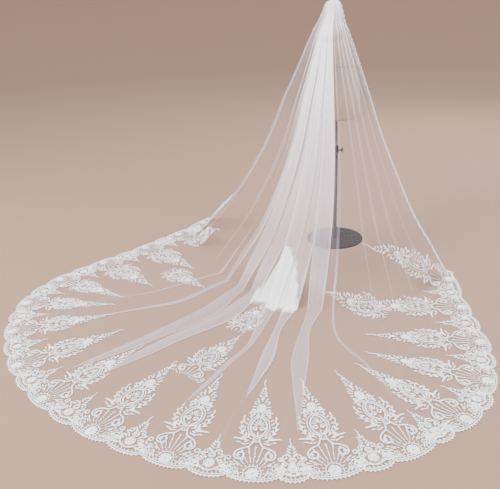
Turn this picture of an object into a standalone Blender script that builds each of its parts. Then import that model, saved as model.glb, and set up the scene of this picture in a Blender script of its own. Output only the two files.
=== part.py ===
# Bridal veil of plain tulle with a lace border, draped over a limbless dress form on its stand.
# Metres, +Z up. The origin is the middle of the base plate's underside, on the floor.
# The train runs towards -Y, and the open front of the veil faces +Y.

import math

import bpy
import bmesh
from mathutils import Vector

# Cloth and lace
TULLE = 0.0012              # wall of the tulle
LACE = 0.0010               # wall of the lace
GAP = 0.0003                # between pieces that lie on or beside each other
RIGHT_EDGE = -15.0          # angle of the right front edge about the pole, degrees
LEFT_EDGE = -180.0          # angle of the left front edge
LAP = -70.0                 # angle of the long pleat that faces the viewer
LAP_WIDTH = 4.0             # degrees that the left stretch overlaps the right one
LAP_LIFT = 0.0050           # how far the overlapping stretch stands off the lower one
LAP_TOP = 1.400             # above this height the two stretches lie side by side
SEAT = 0.008                # how far the train reaches in under the hanging cloth
TRIM_WIDTH = 0.036          # lace trim up the front edges
TRIM_FLARE = 0.10           # how much wider the trim grows at the floor

TRIM_FLARE_TOP = 0.45       # height at which the trim starts to widen
TRIM_MOST = 16.0            # most degrees that the trim takes, near the neck
TRIM_ROWS = (3, 20)         # rows of PROFILE between which the trim runs
FOLDS_TOP = 1.46            # the upright folds deepen from here down
FOLDS_RUN = 1.25            # height over which they deepen
FOLDS_NECK = (1.58, 0.10, 0.05)     # faint folds at the neck: top, run and share of the full depth
FOLDS_FULL = 0.25           # reach from which a fold has its full depth
OUTLINE_TOP = 1.50          # below here the foot's outline starts to shape the cloth
OUTLINE_RUN = 0.60
LEAN_LOW = 0.50             # the cloth leans with the form from here up
LEAN_RUN = 1.00
LAP_RUN = 0.25              # height over which the overlap grows
LAP_LIFT_RUN = 0.08         # height over which the overlapping stretch lifts off
LAP_FADE = 14.0             # degrees over which that lift fades away

RIGHT_COLUMNS = 16
LEFT_COLUMNS = 40

# Lace border
MOTIF_PLACES = (            # distances along the hem of the large motifs, from the right front corner
    0.44, 0.79, 1.12, 1.45, 1.76, 2.10, 2.42, 2.78, 3.16, 3.53, 3.89, 4.26, 4.60, 4.95, 5.29, 5.63, 5.95,
)
SCALLOP = 0.020             # depth of a scallop
LARGE_SCALLOP = 0.205       # width of the scallop under a large motif
BAND = 0.075                # height of the running band between the motifs
MOTIF = 0.56                # height of a large motif
AXIS_REACH = 0.40           # length of hem on each side that sets the way of a motif's axis
FOOT_LOW = 0.04             # up to this height a motif follows the hem
FOOT_RUN = 0.08             # height over which it straightens
PINCH = 0.9                 # how much a motif narrows where the hem turns, against the room there
LEAST_WIDTH = 0.6
BORDER_END = 0.245          # how far the border runs past the first and the last large motif
LEAST_SCALE = 0.45          # a large motif that would be lower than this share is left out
CLEAR_OF_FOOT = 0.045       # least distance from a motif to the hanging cloth
EDGE_BARE = 0.09            # half of the plain band where a large motif is left out

# Dress form and stand
FACING = -150.0             # way that the form's front faces, degrees
LEAN = 0.035                # how far forward of the pole the neck is
NECK_TOP = 1.600            # above this height the cloth is clear of the form by itself
PLATE_RADIUS = 0.200
PLATE_THICK = 0.008
POLE_RADIUS = 0.0125
ROD_RADIUS = 0.0095
COLLAR_RADIUS = 0.0185
COLLAR_BOTTOM = 0.638
COLLAR_TOP = 0.690
SCREW_HEIGHT = 0.655
SCREW_ANGLE = 30.0          # way that the clamp screw points
BOSS_RADIUS = 0.0075
BOSS_REACH = 0.027          # from the pole's axis to the face of the boss
TORSO_BOTTOM = 0.885

# Hanging cloth: height, reach of a cloth whose foot is 1 m from the pole
PROFILE = (
    (1.612, 0.012), (1.609, 0.030), (1.598, 0.046), (1.560, 0.055), (1.505, 0.076),
    (1.465, 0.100), (1.430, 0.122), (1.390, 0.142), (1.345, 0.165), (1.290, 0.190),
    (1.220, 0.225), (1.130, 0.270), (1.012, 0.332),
    (0.860, 0.398), (0.700, 0.478), (0.540, 0.572), (0.400, 0.660), (0.270, 0.758),
    (0.160, 0.862), (0.070, 0.938), (0.022, 0.978), (0.0022, 1.000),
)

# Floor outline: angle about the pole, where the cloth meets the floor, where the hem lies
OUTLINE = (
    (-15, 0.86, 0.91), (-20, 0.88, 0.97), (-30, 0.92, 1.17), (-36, 0.95, 1.38),
    (-40, 0.97, 1.57), (-45, 0.99, 1.78), (-50, 1.00, 1.95), (-56, 1.02, 2.07),
    (-64, 1.04, 2.21), (-76, 1.06, 2.33), (-92, 1.03, 2.37), (-106, 0.98, 2.37),
    (-118, 0.95, 2.31), (-126, 0.96, 2.23), (-132, 0.97, 2.12), (-137, 0.97, 1.96),
    (-142, 0.98, 1.73), (-148, 0.99, 1.50), (-156, 1.00, 1.32), (-167, 1.03, 1.17),
    (-180, 1.06, 1.11),
)

# Folds of the hanging cloth: angle, half width in degrees, depth at the floor
FOLDS = (
    (-24, 3.0, 0.014), (-35, 3.5, 0.020), (-47, 3.0, 0.016), (-59, 3.5, 0.022),
    (-78, 3.5, 0.034), (-87, 3.5, 0.030), (-95, 3.0, 0.036), (-103, 3.5, 0.028),
    (-112, 4.0, 0.034), (-122, 4.0, 0.026), (-132, 4.0, 0.030), (-142, 4.0, 0.024),
    (-153, 4.5, 0.028), (-164, 4.5, 0.022), (-174, 3.0, 0.016),
)

# Doubled folds on the floor: points x, y and half width, from the hanging cloth outwards
FLOOR_FOLDS = (
    ((-0.33, -1.24, 0.046), (-0.37, -1.46, 0.040), (-0.42, -1.75, 0.020)),
    ((-0.18, -1.08, 0.040), (-0.20, -1.42, 0.035), (-0.24, -1.75, 0.018)),
    ((0.13, -1.12, 0.022), (0.14, -1.45, 0.020), (0.12, -1.75, 0.012)),
    ((0.21, -1.12, 0.026), (0.25, -1.45, 0.026), (0.29, -1.76, 0.014)),
    ((0.30, -1.06, 0.040), (0.38, -1.40, 0.036), (0.46, -1.68, 0.018)),
    ((0.50, -1.02, 0.020), (0.60, -1.28, 0.018), (0.72, -1.50, 0.012)),
)
FOLD_HEIGHT = 0.0042        # three more layers and the air between them
FOLD_SLOPE = 1.6            # half widths from a fold's middle at which it ends
TRAIN_SHARES = (0.0, 0.03, 0.11, 0.22, 0.34, 0.45, 0.55, 0.78)     # rows of the train
BORDER_CLEAR = 0.01         # bare cloth between the border and a lifted fold
EDGE_SHORT = 0.001          # how much shorter the tulle is than the lace at the hem

# Outline of a large motif: height above the hem, half width
LARGE_MOTIF = (
    (BAND, 0.096), (0.110, 0.074), (0.145, 0.116), (0.182, 0.110), (0.207, 0.062),
    (0.245, 0.077), (0.283, 0.108), (0.340, 0.086), (0.376, 0.043), (0.414, 0.066),
    (0.465, 0.039), (MOTIF, 0.004),
)
# Gaps of a large motif: middle x, middle height, half width, half height
LARGE_GAPS = ((0.049, 0.136, 0.015, 0.023), (0.047, 0.283, 0.019, 0.023))
GAP_SIDES = 5
SCALLOP_SHARES = (0.0, 0.14, 0.5, 0.86)     # points that hold a scallop's shape
# Outline of a small motif
SMALL_MOTIF = ((BAND, 0.030), (0.115, 0.034), (0.150, 0.016), (0.185, 0.003))

# Loose motifs on the train inside the border: base x, base y, direction of the tip in degrees
LOOSE_MOTIFS = (
    (-0.04, -1.80, 80.0), (-0.03, -1.41, 86.0), (-0.82, -0.95, 344.0),
)
LOOSE_SCALE = 0.84
LOOSE_BASE = 0.140          # the loose motifs are the upper part of a large one, from this height

# Body of the form: height, reach to the front, to the back, half width
TORSO = (
    (TORSO_BOTTOM, 0.136, 0.136, 0.166), (0.920, 0.140, 0.145, 0.171), (0.990, 0.127, 0.148, 0.172),
    (1.060, 0.106, 0.142, 0.158), (1.130, 0.084, 0.130, 0.136), (1.190, 0.073, 0.117, 0.123),
    (1.240, 0.074, 0.102, 0.121), (1.285, 0.098, 0.086, 0.126), (1.325, 0.128, 0.070, 0.134),
    (1.365, 0.143, 0.056, 0.141), (1.400, 0.144, 0.047, 0.142), (1.432, 0.124, 0.042, 0.126),
    (1.460, 0.098, 0.034, 0.096), (1.482, 0.084, 0.022, 0.064), (1.505, 0.082, 0.014, 0.050),
    (1.550, 0.080, 0.010, 0.046),
)
TORSO_SQUARE = 2.3          # 2 gives ellipses, more gives squarer sections
CLOTH_OFF_FORM = 0.010      # air between the form and the cloth over it
CAP_SPARE = 0.0001          # a little more than the gap, between the neck cap and the cloth on it


def clear_scene():
    for item in list(bpy.data.objects):
        bpy.data.objects.remove(item, do_unlink=True)


def collection(name):
    group = bpy.data.collections.new(name)
    bpy.context.scene.collection.children.link(group)
    return group


def material(name, colour, roughness, metallic=0.0):
    finish = bpy.data.materials.new(name)
    finish.use_nodes = True
    shader = finish.node_tree.nodes["Principled BSDF"]
    shader.inputs["Base Color"].default_value = (*colour, 1.0)
    shader.inputs["Roughness"].default_value = roughness
    shader.inputs["Metallic"].default_value = metallic
    return finish


def add_object(group, name, data, finish):
    item = bpy.data.objects.new(name, data)
    data.materials.append(finish)
    group.objects.link(item)
    return item


def ease(value):
    value = min(1.0, max(0.0, value))
    return value * value * (3.0 - 2.0 * value)


def read_table(table, at, column):
    # A smooth curve through one column of a table, whose first column rises or falls steadily
    sign = 1.0 if table[-1][0] > table[0][0] else -1.0
    last = len(table) - 1
    if sign * at <= sign * table[0][0]:
        return table[0][column]
    if sign * at >= sign * table[last][0]:
        return table[last][column]
    row = 0
    while sign * table[row + 1][0] < sign * at:
        row += 1

    def slope(index):
        low = max(0, index - 1)
        high = min(last, index + 1)
        return (table[high][column] - table[low][column]) / (table[high][0] - table[low][0])

    start = table[row]
    end = table[row + 1]
    span = end[0] - start[0]
    part = (at - start[0]) / span
    hold = part * part * (3.0 - 2.0 * part)
    rise = part * (1.0 - part) ** 2 * span
    fall = part * part * (part - 1.0) * span
    return start[column] * (1.0 - hold) + end[column] * hold + slope(row) * rise + slope(row + 1) * fall


def polar(angle, radius):
    turn = math.radians(angle)
    return Vector((radius * math.cos(turn), radius * math.sin(turn)))


def grid_mesh(name, rows):
    # An open sheet of quads through rows of points
    mesh = bpy.data.meshes.new(name)
    count = len(rows[0])
    faces = []
    for row in range(len(rows) - 1):
        for column in range(count - 1):
            corner = row * count + column
            faces.append((corner, corner + 1, corner + count + 1, corner + count))
    mesh.from_pydata([point for row in rows for point in row], [], faces)
    return mesh


def walled_sheet(group, name, rows, wall, finish):
    item = add_object(group, name, grid_mesh(name, rows), finish)
    item.data.shade_smooth()
    solid = item.modifiers.new("wall", "SOLIDIFY")
    solid.thickness = wall
    solid.offset = 0.0
    solid.use_even_offset = True
    return item


def turned(group, name, profile, finish, steps=40):
    # A turned piece about +Z: the profile runs down its outer side, as radius and height
    mesh = bpy.data.meshes.new(name)
    points = [(radius, 0.0, height) for radius, height in profile]
    mesh.from_pydata(points, [(index, index + 1) for index in range(len(points) - 1)], [])
    item = add_object(group, name, mesh, finish)
    screw = item.modifiers.new("turn", "SCREW")
    screw.steps = steps
    screw.render_steps = steps
    screw.use_merge_vertices = True
    screw.merge_threshold = 0.00002
    screw.use_smooth_shade = True
    return item


# Form and stand

def torso_section(height):
    # Middle of the form's section, as a distance ahead of the pole, then its half depth and half width
    front = read_table(TORSO, height, 1)
    back = read_table(TORSO, height, 2)
    return (front - back) / 2.0, (front + back) / 2.0, read_table(TORSO, height, 3)


def clear_of_torso(spot, height):
    # The spot itself, or where it is pushed out to lie clear of the form
    ahead, depth, width = torso_section(height)
    middle = polar(FACING, ahead)
    out = spot - middle
    turn = math.atan2(out.y, out.x) - math.radians(FACING)
    along = (abs(math.cos(turn)) / depth) ** TORSO_SQUARE
    aside = (abs(math.sin(turn)) / width) ** TORSO_SQUARE
    least = (along + aside) ** (-1.0 / TORSO_SQUARE) + CLOTH_OFF_FORM
    return spot if out.length > least else middle + out.normalized() * least


def torso(group, finish, around=28, up=20):
    top = TORSO[-1][0]
    mesh = bmesh.new()
    rings = []
    for level in range(up + 1):
        height = TORSO_BOTTOM + (top - TORSO_BOTTOM) * level / up
        middle, depth, width = torso_section(height)
        ring = []
        for step in range(around):
            turn = 2.0 * math.pi * step / around
            ahead = math.copysign(abs(math.cos(turn)) ** (2.0 / TORSO_SQUARE), math.cos(turn))
            aside = math.copysign(abs(math.sin(turn)) ** (2.0 / TORSO_SQUARE), math.sin(turn))
            spot = polar(FACING, middle + depth * ahead) + polar(FACING + 90.0, width * aside)
            ring.append(mesh.verts.new((spot.x, spot.y, height)))
        rings.append(ring)
    for low, high in zip(rings, rings[1:]):
        for step in range(around):
            after = (step + 1) % around
            mesh.faces.new((low[step], low[after], high[after], high[step]))
    mesh.faces.new(list(reversed(rings[0])))
    mesh.faces.new(rings[-1])
    data = bpy.data.meshes.new("torso")
    mesh.to_mesh(data)
    mesh.free()
    item = add_object(group, "torso", data, finish)
    data.shade_smooth()
    return item


def neck_cap(group, finish):
    # The cap's crown follows the first rows of the cloth, which rests on it
    under = TULLE / 2.0 + GAP + CAP_SPARE
    crown = [(reach - under / 2.0, height - under) for height, reach in PROFILE[:3]]
    base = TORSO[-1][0] + GAP
    radius = crown[-1][0]
    profile = [(0.0, crown[0][1])] + crown + [(radius, base), (0.0, base)]
    item = turned(group, "neck_cap", profile, finish, 32)
    spot = polar(FACING, LEAN)
    item.location = (spot.x, spot.y, 0.0)


def stand(group, black, steel):
    edge = 0.0015
    turned(group, "base_plate", [(0.0, PLATE_THICK), (PLATE_RADIUS - edge, PLATE_THICK),
                                 (PLATE_RADIUS, PLATE_THICK - edge), (PLATE_RADIUS, edge),
                                 (PLATE_RADIUS - edge, 0.0), (0.0, 0.0)], black, 48)
    foot = PLATE_THICK + GAP
    turned(group, "lower_pole", [(0.0, COLLAR_BOTTOM - GAP), (POLE_RADIUS, COLLAR_BOTTOM - GAP),
                                 (POLE_RADIUS, foot), (0.0, foot)], black, 24)
    turned(group, "upper_rod", [(0.0, TORSO_BOTTOM - GAP), (ROD_RADIUS, TORSO_BOTTOM - GAP),
                                (ROD_RADIUS, COLLAR_TOP + GAP), (0.0, COLLAR_TOP + GAP)], steel, 24)


def cylinder(group, name, radius, start, end, finish, sides=20):
    # A bar between two points
    span = end - start
    bpy.ops.mesh.primitive_cylinder_add(vertices=sides, radius=radius, depth=span.length,
                                        location=(start + end) / 2.0)
    item = bpy.context.object
    item.name = name
    item.rotation_mode = "QUATERNION"
    item.rotation_quaternion = span.to_track_quat("Z", "Y")
    for owner in list(item.users_collection):
        owner.objects.unlink(item)
    group.objects.link(item)
    item.data.materials.append(finish)
    return item


def join_to(item, other):
    join = item.modifiers.new("join", "BOOLEAN")
    join.operation = "UNION"
    join.object = other
    other.hide_render = True
    other.display_type = "WIRE"


def clamp(group, cutters, black):
    edge = 0.003
    collar = turned(group, "collar", [(0.0, COLLAR_TOP), (COLLAR_RADIUS - edge, COLLAR_TOP),
                                      (COLLAR_RADIUS, COLLAR_TOP - edge),
                                      (COLLAR_RADIUS, COLLAR_BOTTOM + edge),
                                      (COLLAR_RADIUS - edge, COLLAR_BOTTOM), (0.0, COLLAR_BOTTOM)],
                    black, 24)
    way = Vector((*polar(SCREW_ANGLE, 1.0), 0.0))
    level = Vector((0.0, 0.0, SCREW_HEIGHT))
    boss = cylinder(cutters, "boss_form", BOSS_RADIUS, level + way * 0.010, level + way * BOSS_REACH, black)
    join_to(collar, boss)

    face = BOSS_REACH + GAP
    stem = cylinder(group, "clamp_screw", 0.0045, level + way * face, level + way * 0.040, black)
    head = cylinder(cutters, "screw_head_form", 0.0080, level + way * 0.036, level + way * 0.047, black)
    across = Vector((0.0, 0.0, 1.0))
    middle = level + way * 0.0425
    wing = cylinder(cutters, "screw_wing_form", 0.0040, middle - across * 0.019, middle + across * 0.019,
                    black, 16)
    join_to(stem, head)
    join_to(stem, wing)


# Hanging cloth

def foot_radius(angle):
    return read_table(OUTLINE, angle, 1)


def fold_depth(angle, height):
    # Soft upright folds, shallow near the gathers and deepest at the floor
    top, run, share = FOLDS_NECK
    fade = ease((FOLDS_TOP - height) / FOLDS_RUN) * (1.0 - share) + share * ease((top - height) / run)
    depth = 0.0
    for middle, half, deep in FOLDS:
        away = abs(angle - middle) / (half * 1.6)
        if away < 1.0:
            depth += deep * (1.0 - ease(away))
    return depth * fade


def hanging_point(angle, height, lift=0.0):
    reach = read_table(PROFILE, height, 1)
    spread = ease((OUTLINE_TOP - height) / OUTLINE_RUN)
    radius = reach * (1.0 + (foot_radius(angle) - 1.0) * spread)
    radius += fold_depth(angle, height) * min(1.0, radius / FOLDS_FULL)
    spot = polar(angle, radius) + polar(FACING, LEAN * ease((height - LEAN_LOW) / LEAN_RUN))
    if height < NECK_TOP:
        spot = clear_of_torso(spot, height)
    spot += polar(angle, lift)
    return Vector((spot.x, spot.y, height))


def trim_angle(height):
    # Degrees that the edge trim takes at a height: it widens into the border at the floor
    reach = read_table(PROFILE, height, 1)
    wide = TRIM_WIDTH + TRIM_FLARE * (1.0 - ease(height / TRIM_FLARE_TOP))
    return min(TRIM_MOST, math.degrees(wide / reach))


def stretch_angles(start, end, height, columns, trim_first, trim_last):
    # Angles of a stretch's columns: two for the trim at a front edge, the others spaced evenly
    trim = trim_angle(height)
    low = start - trim if trim_first else start
    high = end + trim if trim_last else end
    angles = [start, start - trim / 2.0] if trim_first else []
    angles += [low + (high - low) * step / columns for step in range(columns + 1)]
    angles += [end + trim / 2.0, end] if trim_last else []
    return angles


def lap_half(height):
    # Half of the overlap in degrees, or less than nothing where the stretches part by a small gap
    overlap = ease((LAP_TOP - height) / LAP_RUN)
    apart = math.degrees(GAP / read_table(PROFILE, height, 1))
    return LAP_WIDTH / 2.0 * overlap - apart * (1.0 - overlap)


def hanging_rows(start, end, columns, over):
    # Rows of one stretch, which lies over its neighbour at its start or under it at its end
    rows = []
    for height, _ in PROFILE:
        first = start + lap_half(height) if over else start
        last = end if over else end - lap_half(height)
        lift = LAP_LIFT * ease((LAP_TOP + LAP_LIFT_RUN - height) / LAP_LIFT_RUN) if over else 0.0
        row = []
        for angle in stretch_angles(first, last, height, columns, not over, over):
            row.append(hanging_point(angle, height, lift * ease(1.0 - (first - angle) / LAP_FADE)))
        rows.append(row)
    return rows


def moved_out(rows, first, last, distance):
    # The points of some columns of a sheet, moved along the sheet's outward normal
    moved = []
    top = len(rows) - 1
    for index in range(len(rows)):
        row = []
        for column in range(first, last + 1):
            left = max(0, column - 1)
            right = min(len(rows[0]) - 1, column + 1)
            across = rows[index][right] - rows[index][left]
            down = rows[min(top, index + 1)][column] - rows[max(0, index - 1)][column]
            normal = across.cross(down).normalized()
            spot = rows[index][column]
            if normal.x * spot.x + normal.y * spot.y + normal.z * 0.2 < 0.0:
                normal = -normal
            row.append(spot + normal * distance)
        moved.append(row)
    return moved


def drape(group, tulle, lace):
    right = hanging_rows(RIGHT_EDGE, LAP, RIGHT_COLUMNS, False)
    left = hanging_rows(LAP, LEFT_EDGE, LEFT_COLUMNS, True)
    walled_sheet(group, "tulle_right", right, TULLE, tulle)
    walled_sheet(group, "tulle_left", left, TULLE, tulle)
    off = TULLE / 2.0 + GAP + LACE / 2.0
    last = len(left[0]) - 1
    low, high = TRIM_ROWS
    walled_sheet(group, "edge_trim_right", moved_out(right, 0, 2, off)[low:high], LACE, lace)
    walled_sheet(group, "edge_trim_left", moved_out(left, last - 2, last, off)[low:high], LACE, lace)


# Train and lace on the floor

class Hem:
    # The smooth hem line, read by the distance along it from the right front corner

    def __init__(self, steps=660):
        self.points = []
        self.along = [0.0]
        for step in range(steps + 1):
            angle = RIGHT_EDGE + (LEFT_EDGE - RIGHT_EDGE) * step / steps
            self.points.append(polar(angle, read_table(OUTLINE, angle, 2)))
        for start, end in zip(self.points, self.points[1:]):
            self.along.append(self.along[-1] + (end - start).length)
        self.length = self.along[-1]

    def place(self, distance):
        distance = min(self.length, max(0.0, distance))
        low = 0
        high = len(self.along) - 1
        while high - low > 1:
            middle = (low + high) // 2
            if self.along[middle] > distance:
                high = middle
            else:
                low = middle
        part = (distance - self.along[low]) / (self.along[high] - self.along[low])
        return self.points[low].lerp(self.points[high], part)

    def outward(self, distance, reach=0.06):
        along = self.place(distance + reach) - self.place(distance - reach)
        return Vector((-along.y, along.x)).normalized()

    def inside(self, distance, height):
        # A point at a height above the hem, measured inwards over the floor
        return self.place(distance) - self.outward(distance) * height

    def away(self, spot):
        # How far a place on the floor is from the hem
        return min((point - spot).length for point in self.points)


def scallop_bounds(hem):
    # Where each scallop starts: a large one under each large motif and a small one between two
    half = LARGE_SCALLOP / 2.0
    bounds = [0.0]
    for place in MOTIF_PLACES:
        bounds += [place - half, place + half]
    return bounds + [hem.length]


def scallop(hem, distance):
    # Depth of the hem's edge inside the line that its scallops touch
    bounds = scallop_bounds(hem)
    for low, high in zip(bounds, bounds[1:]):
        if distance <= high:
            break
    across = 2.0 * (distance - low) / (high - low) - 1.0
    return SCALLOP * (1.0 - math.sqrt(max(0.0, 1.0 - across * across)))


def scallop_places(hem):
    # Distances along the hem that hold the scallops' shape
    bounds = scallop_bounds(hem)
    places = []
    for low, high in zip(bounds, bounds[1:]):
        places += [low + (high - low) * share for share in SCALLOP_SHARES]
    return places + [hem.length]


class MotifFrame:
    # Where a motif's points lie: it follows the hem at its foot, and is straight above

    def __init__(self, hem, middle):
        self.hem = hem
        self.middle = middle
        self.root = hem.place(middle)
        self.ahead = -hem.outward(middle, AXIS_REACH)
        self.along = Vector((-self.ahead.y, self.ahead.x))
        high = hem.inside(middle + LARGE_SCALLOP, BAND) - hem.inside(middle - LARGE_SCALLOP, BAND)
        low = hem.place(middle + LARGE_SCALLOP) - hem.place(middle - LARGE_SCALLOP)
        self.pinch = max(0.0, 1.0 - high.length / low.length) / BAND * PINCH

    def spot(self, aside, height):
        near = self.hem.inside(self.middle + aside, height)
        wide = aside * max(LEAST_WIDTH, 1.0 - self.pinch * height)
        straight = self.root + self.ahead * height + self.along * wide
        part = ease((height - FOOT_LOW) / FOOT_RUN)
        return near * (1.0 - part) + straight * part


def clear_of_foot(spot):
    # Whether a place on the floor lies well outside the foot of the hanging cloth
    foot = hanging_point(math.degrees(math.atan2(spot.y, spot.x)), PROFILE[-1][0])
    return spot.length > Vector((foot.x, foot.y)).length + CLEAR_OF_FOOT


def motif_scale(frame):
    # Share of its height that a large motif has room for, or nothing
    scale = 1.0
    while scale >= LEAST_SCALE:
        if all(clear_of_foot(spot) for spot in motif_sides(LARGE_MOTIF, frame.spot, scale)):
            return scale
        scale -= 0.05
    return 0.0


def fold_lift(spot):
    # Height that the doubled folds add to the cloth on the floor
    lift = 0.0
    for fold in FLOOR_FOLDS:
        for start, end in zip(fold, fold[1:]):
            low = Vector(start[:2])
            span = Vector(end[:2]) - low
            part = min(1.0, max(0.0, (spot - low).dot(span) / span.length_squared))
            half = start[2] + (end[2] - start[2]) * part
            away = (spot - low - span * part).length / half
            lift = max(lift, FOLD_HEIGHT * ease(FOLD_SLOPE - away))
    return lift


def floor_point(hem, distance, share):
    # A column of the train runs off the foot of the hanging cloth and meets the hem squarely
    angle = RIGHT_EDGE + (LEFT_EDGE - RIGHT_EDGE) * distance / hem.length
    foot = hanging_point(angle, PROFILE[-1][0])
    inner = Vector((foot.x, foot.y)) - polar(angle, SEAT)
    outer = hem.place(distance)
    reach = (outer - inner).length
    hold = share * share * (3.0 - 2.0 * share)
    start = polar(angle, reach) * (share * (1.0 - share) ** 2)
    end = hem.outward(distance) * reach * (share * share * (share - 1.0))
    return inner * (1.0 - hold) + outer * hold + start + end


def train_heights(hem, columns):
    # Height of the train's top at each point: lifted only where no lace lies on the cloth around it
    bare = [[hem.away(spot) > MOTIF + BORDER_CLEAR for spot in column] for column in columns]
    heights = []
    for number, column in enumerate(columns):
        around = bare[max(0, number - 1):number + 2]
        row = []
        for index, spot in enumerate(column):
            free = index > 1 and all(all(near[index - 1:index + 2]) for near in around)
            row.append(TULLE + (fold_lift(spot) if free else 0.0))
        heights.append(row)
    return heights


def train(group, hem, finish):
    columns = []
    for distance in scallop_places(hem):
        column = [floor_point(hem, distance, share) for share in TRAIN_SHARES]
        column.append(hem.inside(distance, scallop(hem, distance) + EDGE_SHORT))
        columns.append(column)
    mesh = bmesh.new()
    top = []
    under = []
    for column, heights in zip(columns, train_heights(hem, columns)):
        top.append([mesh.verts.new((spot.x, spot.y, height)) for spot, height in zip(column, heights)])
        under.append([mesh.verts.new((column[0].x, column[0].y, 0.0)),
                      mesh.verts.new((column[-1].x, column[-1].y, 0.0))])
    for left, right in zip(top, top[1:]):
        for index in range(len(left) - 1):
            mesh.faces.new((left[index], left[index + 1], right[index + 1], right[index]))
    for index in range(len(top) - 1):
        mesh.faces.new((top[index][0], top[index + 1][0], under[index + 1][0], under[index][0]))
        mesh.faces.new((top[index + 1][-1], top[index][-1], under[index][1], under[index + 1][1]))
    for column, feet in ((top[0], under[0]), (top[-1], under[-1])):
        mesh.faces.new([feet[0]] + column + [feet[1]])
    mesh.faces.new([feet[0] for feet in under] + [feet[1] for feet in reversed(under)])
    bmesh.ops.recalc_face_normals(mesh, faces=mesh.faces)
    data = bpy.data.meshes.new("tulle_train")
    mesh.to_mesh(data)
    mesh.free()
    return add_object(group, "tulle_train", data, finish)


def flat_piece(group, name, loops, level, finish):
    # A flat piece of lace from its outline and its gaps, made a mesh with its caps welded on
    data = bpy.data.curves.new(name + "_outline", "CURVE")
    data.dimensions = "2D"
    data.fill_mode = "BOTH"
    data.extrude = LACE / 2.0
    for loop in loops:
        spline = data.splines.new("POLY")
        spline.points.add(len(loop) - 1)
        for point, spot in zip(spline.points, loop):
            point.co = (spot.x, spot.y, 0.0, 1.0)
        spline.use_cyclic_u = True
    outline = bpy.data.objects.new(name + "_outline", data)
    group.objects.link(outline)
    graph = bpy.context.evaluated_depsgraph_get()
    flat = bpy.data.meshes.new_from_object(outline.evaluated_get(graph))
    flat.name = name
    bpy.data.objects.remove(outline)
    mesh = bmesh.new()
    mesh.from_mesh(flat)
    bmesh.ops.remove_doubles(mesh, verts=mesh.verts, dist=0.00001)
    bmesh.ops.recalc_face_normals(mesh, faces=mesh.faces)
    mesh.to_mesh(flat)
    mesh.free()
    item = add_object(group, name, flat, finish)
    item.location = (0.0, 0.0, level)
    return item


def motif_gaps(spot_at, scale):
    # Loops of a large motif's gaps, through a function of the distance aside and the height
    loops = []
    for aside, height, half_wide, half_high in LARGE_GAPS:
        for side in (-1.0, 1.0):
            loop = []
            for step in range(GAP_SIDES):
                turn = 2.0 * math.pi * step / GAP_SIDES
                wide = half_wide * math.cos(turn)
                high = half_high * math.sin(turn)
                loop.append(spot_at(side * aside + wide, scale * (height + high)))
            loops.append(loop)
    return loops


def motif_sides(table, spot_at, scale):
    # The outline of a motif from its first foot over the tip to its other foot
    rising = [spot_at(-half, height * scale) for height, half in table]
    falling = [spot_at(half, height * scale) for height, half in reversed(table)]
    return rising + falling


def border(group, hem, finish):
    first = MOTIF_PLACES[0] - BORDER_END
    last = MOTIF_PLACES[-1] + BORDER_END
    outer = [hem.inside(place, scallop(hem, place)) for place in scallop_places(hem)
             if first <= place <= last]
    inner = [hem.inside(first, BAND)]
    gaps = []
    for number, middle in enumerate(MOTIF_PLACES):
        frame = MotifFrame(hem, middle)
        scale = motif_scale(frame)
        if scale > 0.0:
            inner += motif_sides(LARGE_MOTIF, frame.spot, scale)
            gaps += motif_gaps(frame.spot, scale)
        else:
            inner += [frame.spot(-EDGE_BARE, BAND), frame.spot(EDGE_BARE, BAND)]
        if number < len(MOTIF_PLACES) - 1:
            between = MotifFrame(hem, (middle + MOTIF_PLACES[number + 1]) / 2.0)
            inner += motif_sides(SMALL_MOTIF, between.spot, 1.0)
    inner.append(hem.inside(last, BAND))
    level = TULLE + GAP + LACE / 2.0
    return flat_piece(group, "lace_border", [outer + list(reversed(inner))] + gaps, level, finish)


def loose_motifs(group, finish):
    rows = [row for row in LARGE_MOTIF if row[0] >= LOOSE_BASE]
    level = TULLE + GAP + LACE / 2.0
    for number, (x, y, heading) in enumerate(LOOSE_MOTIFS, 1):
        base = Vector((x, y))

        def spot_at(aside, height, base=base, heading=heading):
            ahead = polar(heading, (height - LOOSE_BASE) * LOOSE_SCALE)
            return base + ahead + polar(heading - 90.0, aside * LOOSE_SCALE)

        outline = motif_sides(rows, spot_at, 1.0)
        gaps = motif_gaps(spot_at, 1.0)[2:]
        flat_piece(group, f"loose_motif_{number}", [outline] + gaps, level, finish)


def build():
    clear_scene()
    group = collection("bridal_veil_on_form")
    cutters = collection("cutters")
    cutters.hide_render = True
    tulle = material("tulle", (0.93, 0.91, 0.93), 0.85)
    lace = material("lace", (0.93, 0.93, 0.95), 0.80)
    linen = material("form_cloth", (0.55, 0.40, 0.28), 0.80)
    black = material("black_metal", (0.05, 0.05, 0.055), 0.45, 0.3)
    steel = material("grey_steel", (0.42, 0.42, 0.41), 0.35, 1.0)

    stand(group, black, steel)
    clamp(group, cutters, black)
    torso(group, linen)
    neck_cap(group, linen)
    drape(group, tulle, lace)

    hem = Hem()
    train(group, hem, tulle)
    border(group, hem, lace)
    loose_motifs(group, lace)


build()
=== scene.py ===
import math
import random

import bpy
import bmesh
from mathutils import Matrix, Vector


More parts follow.
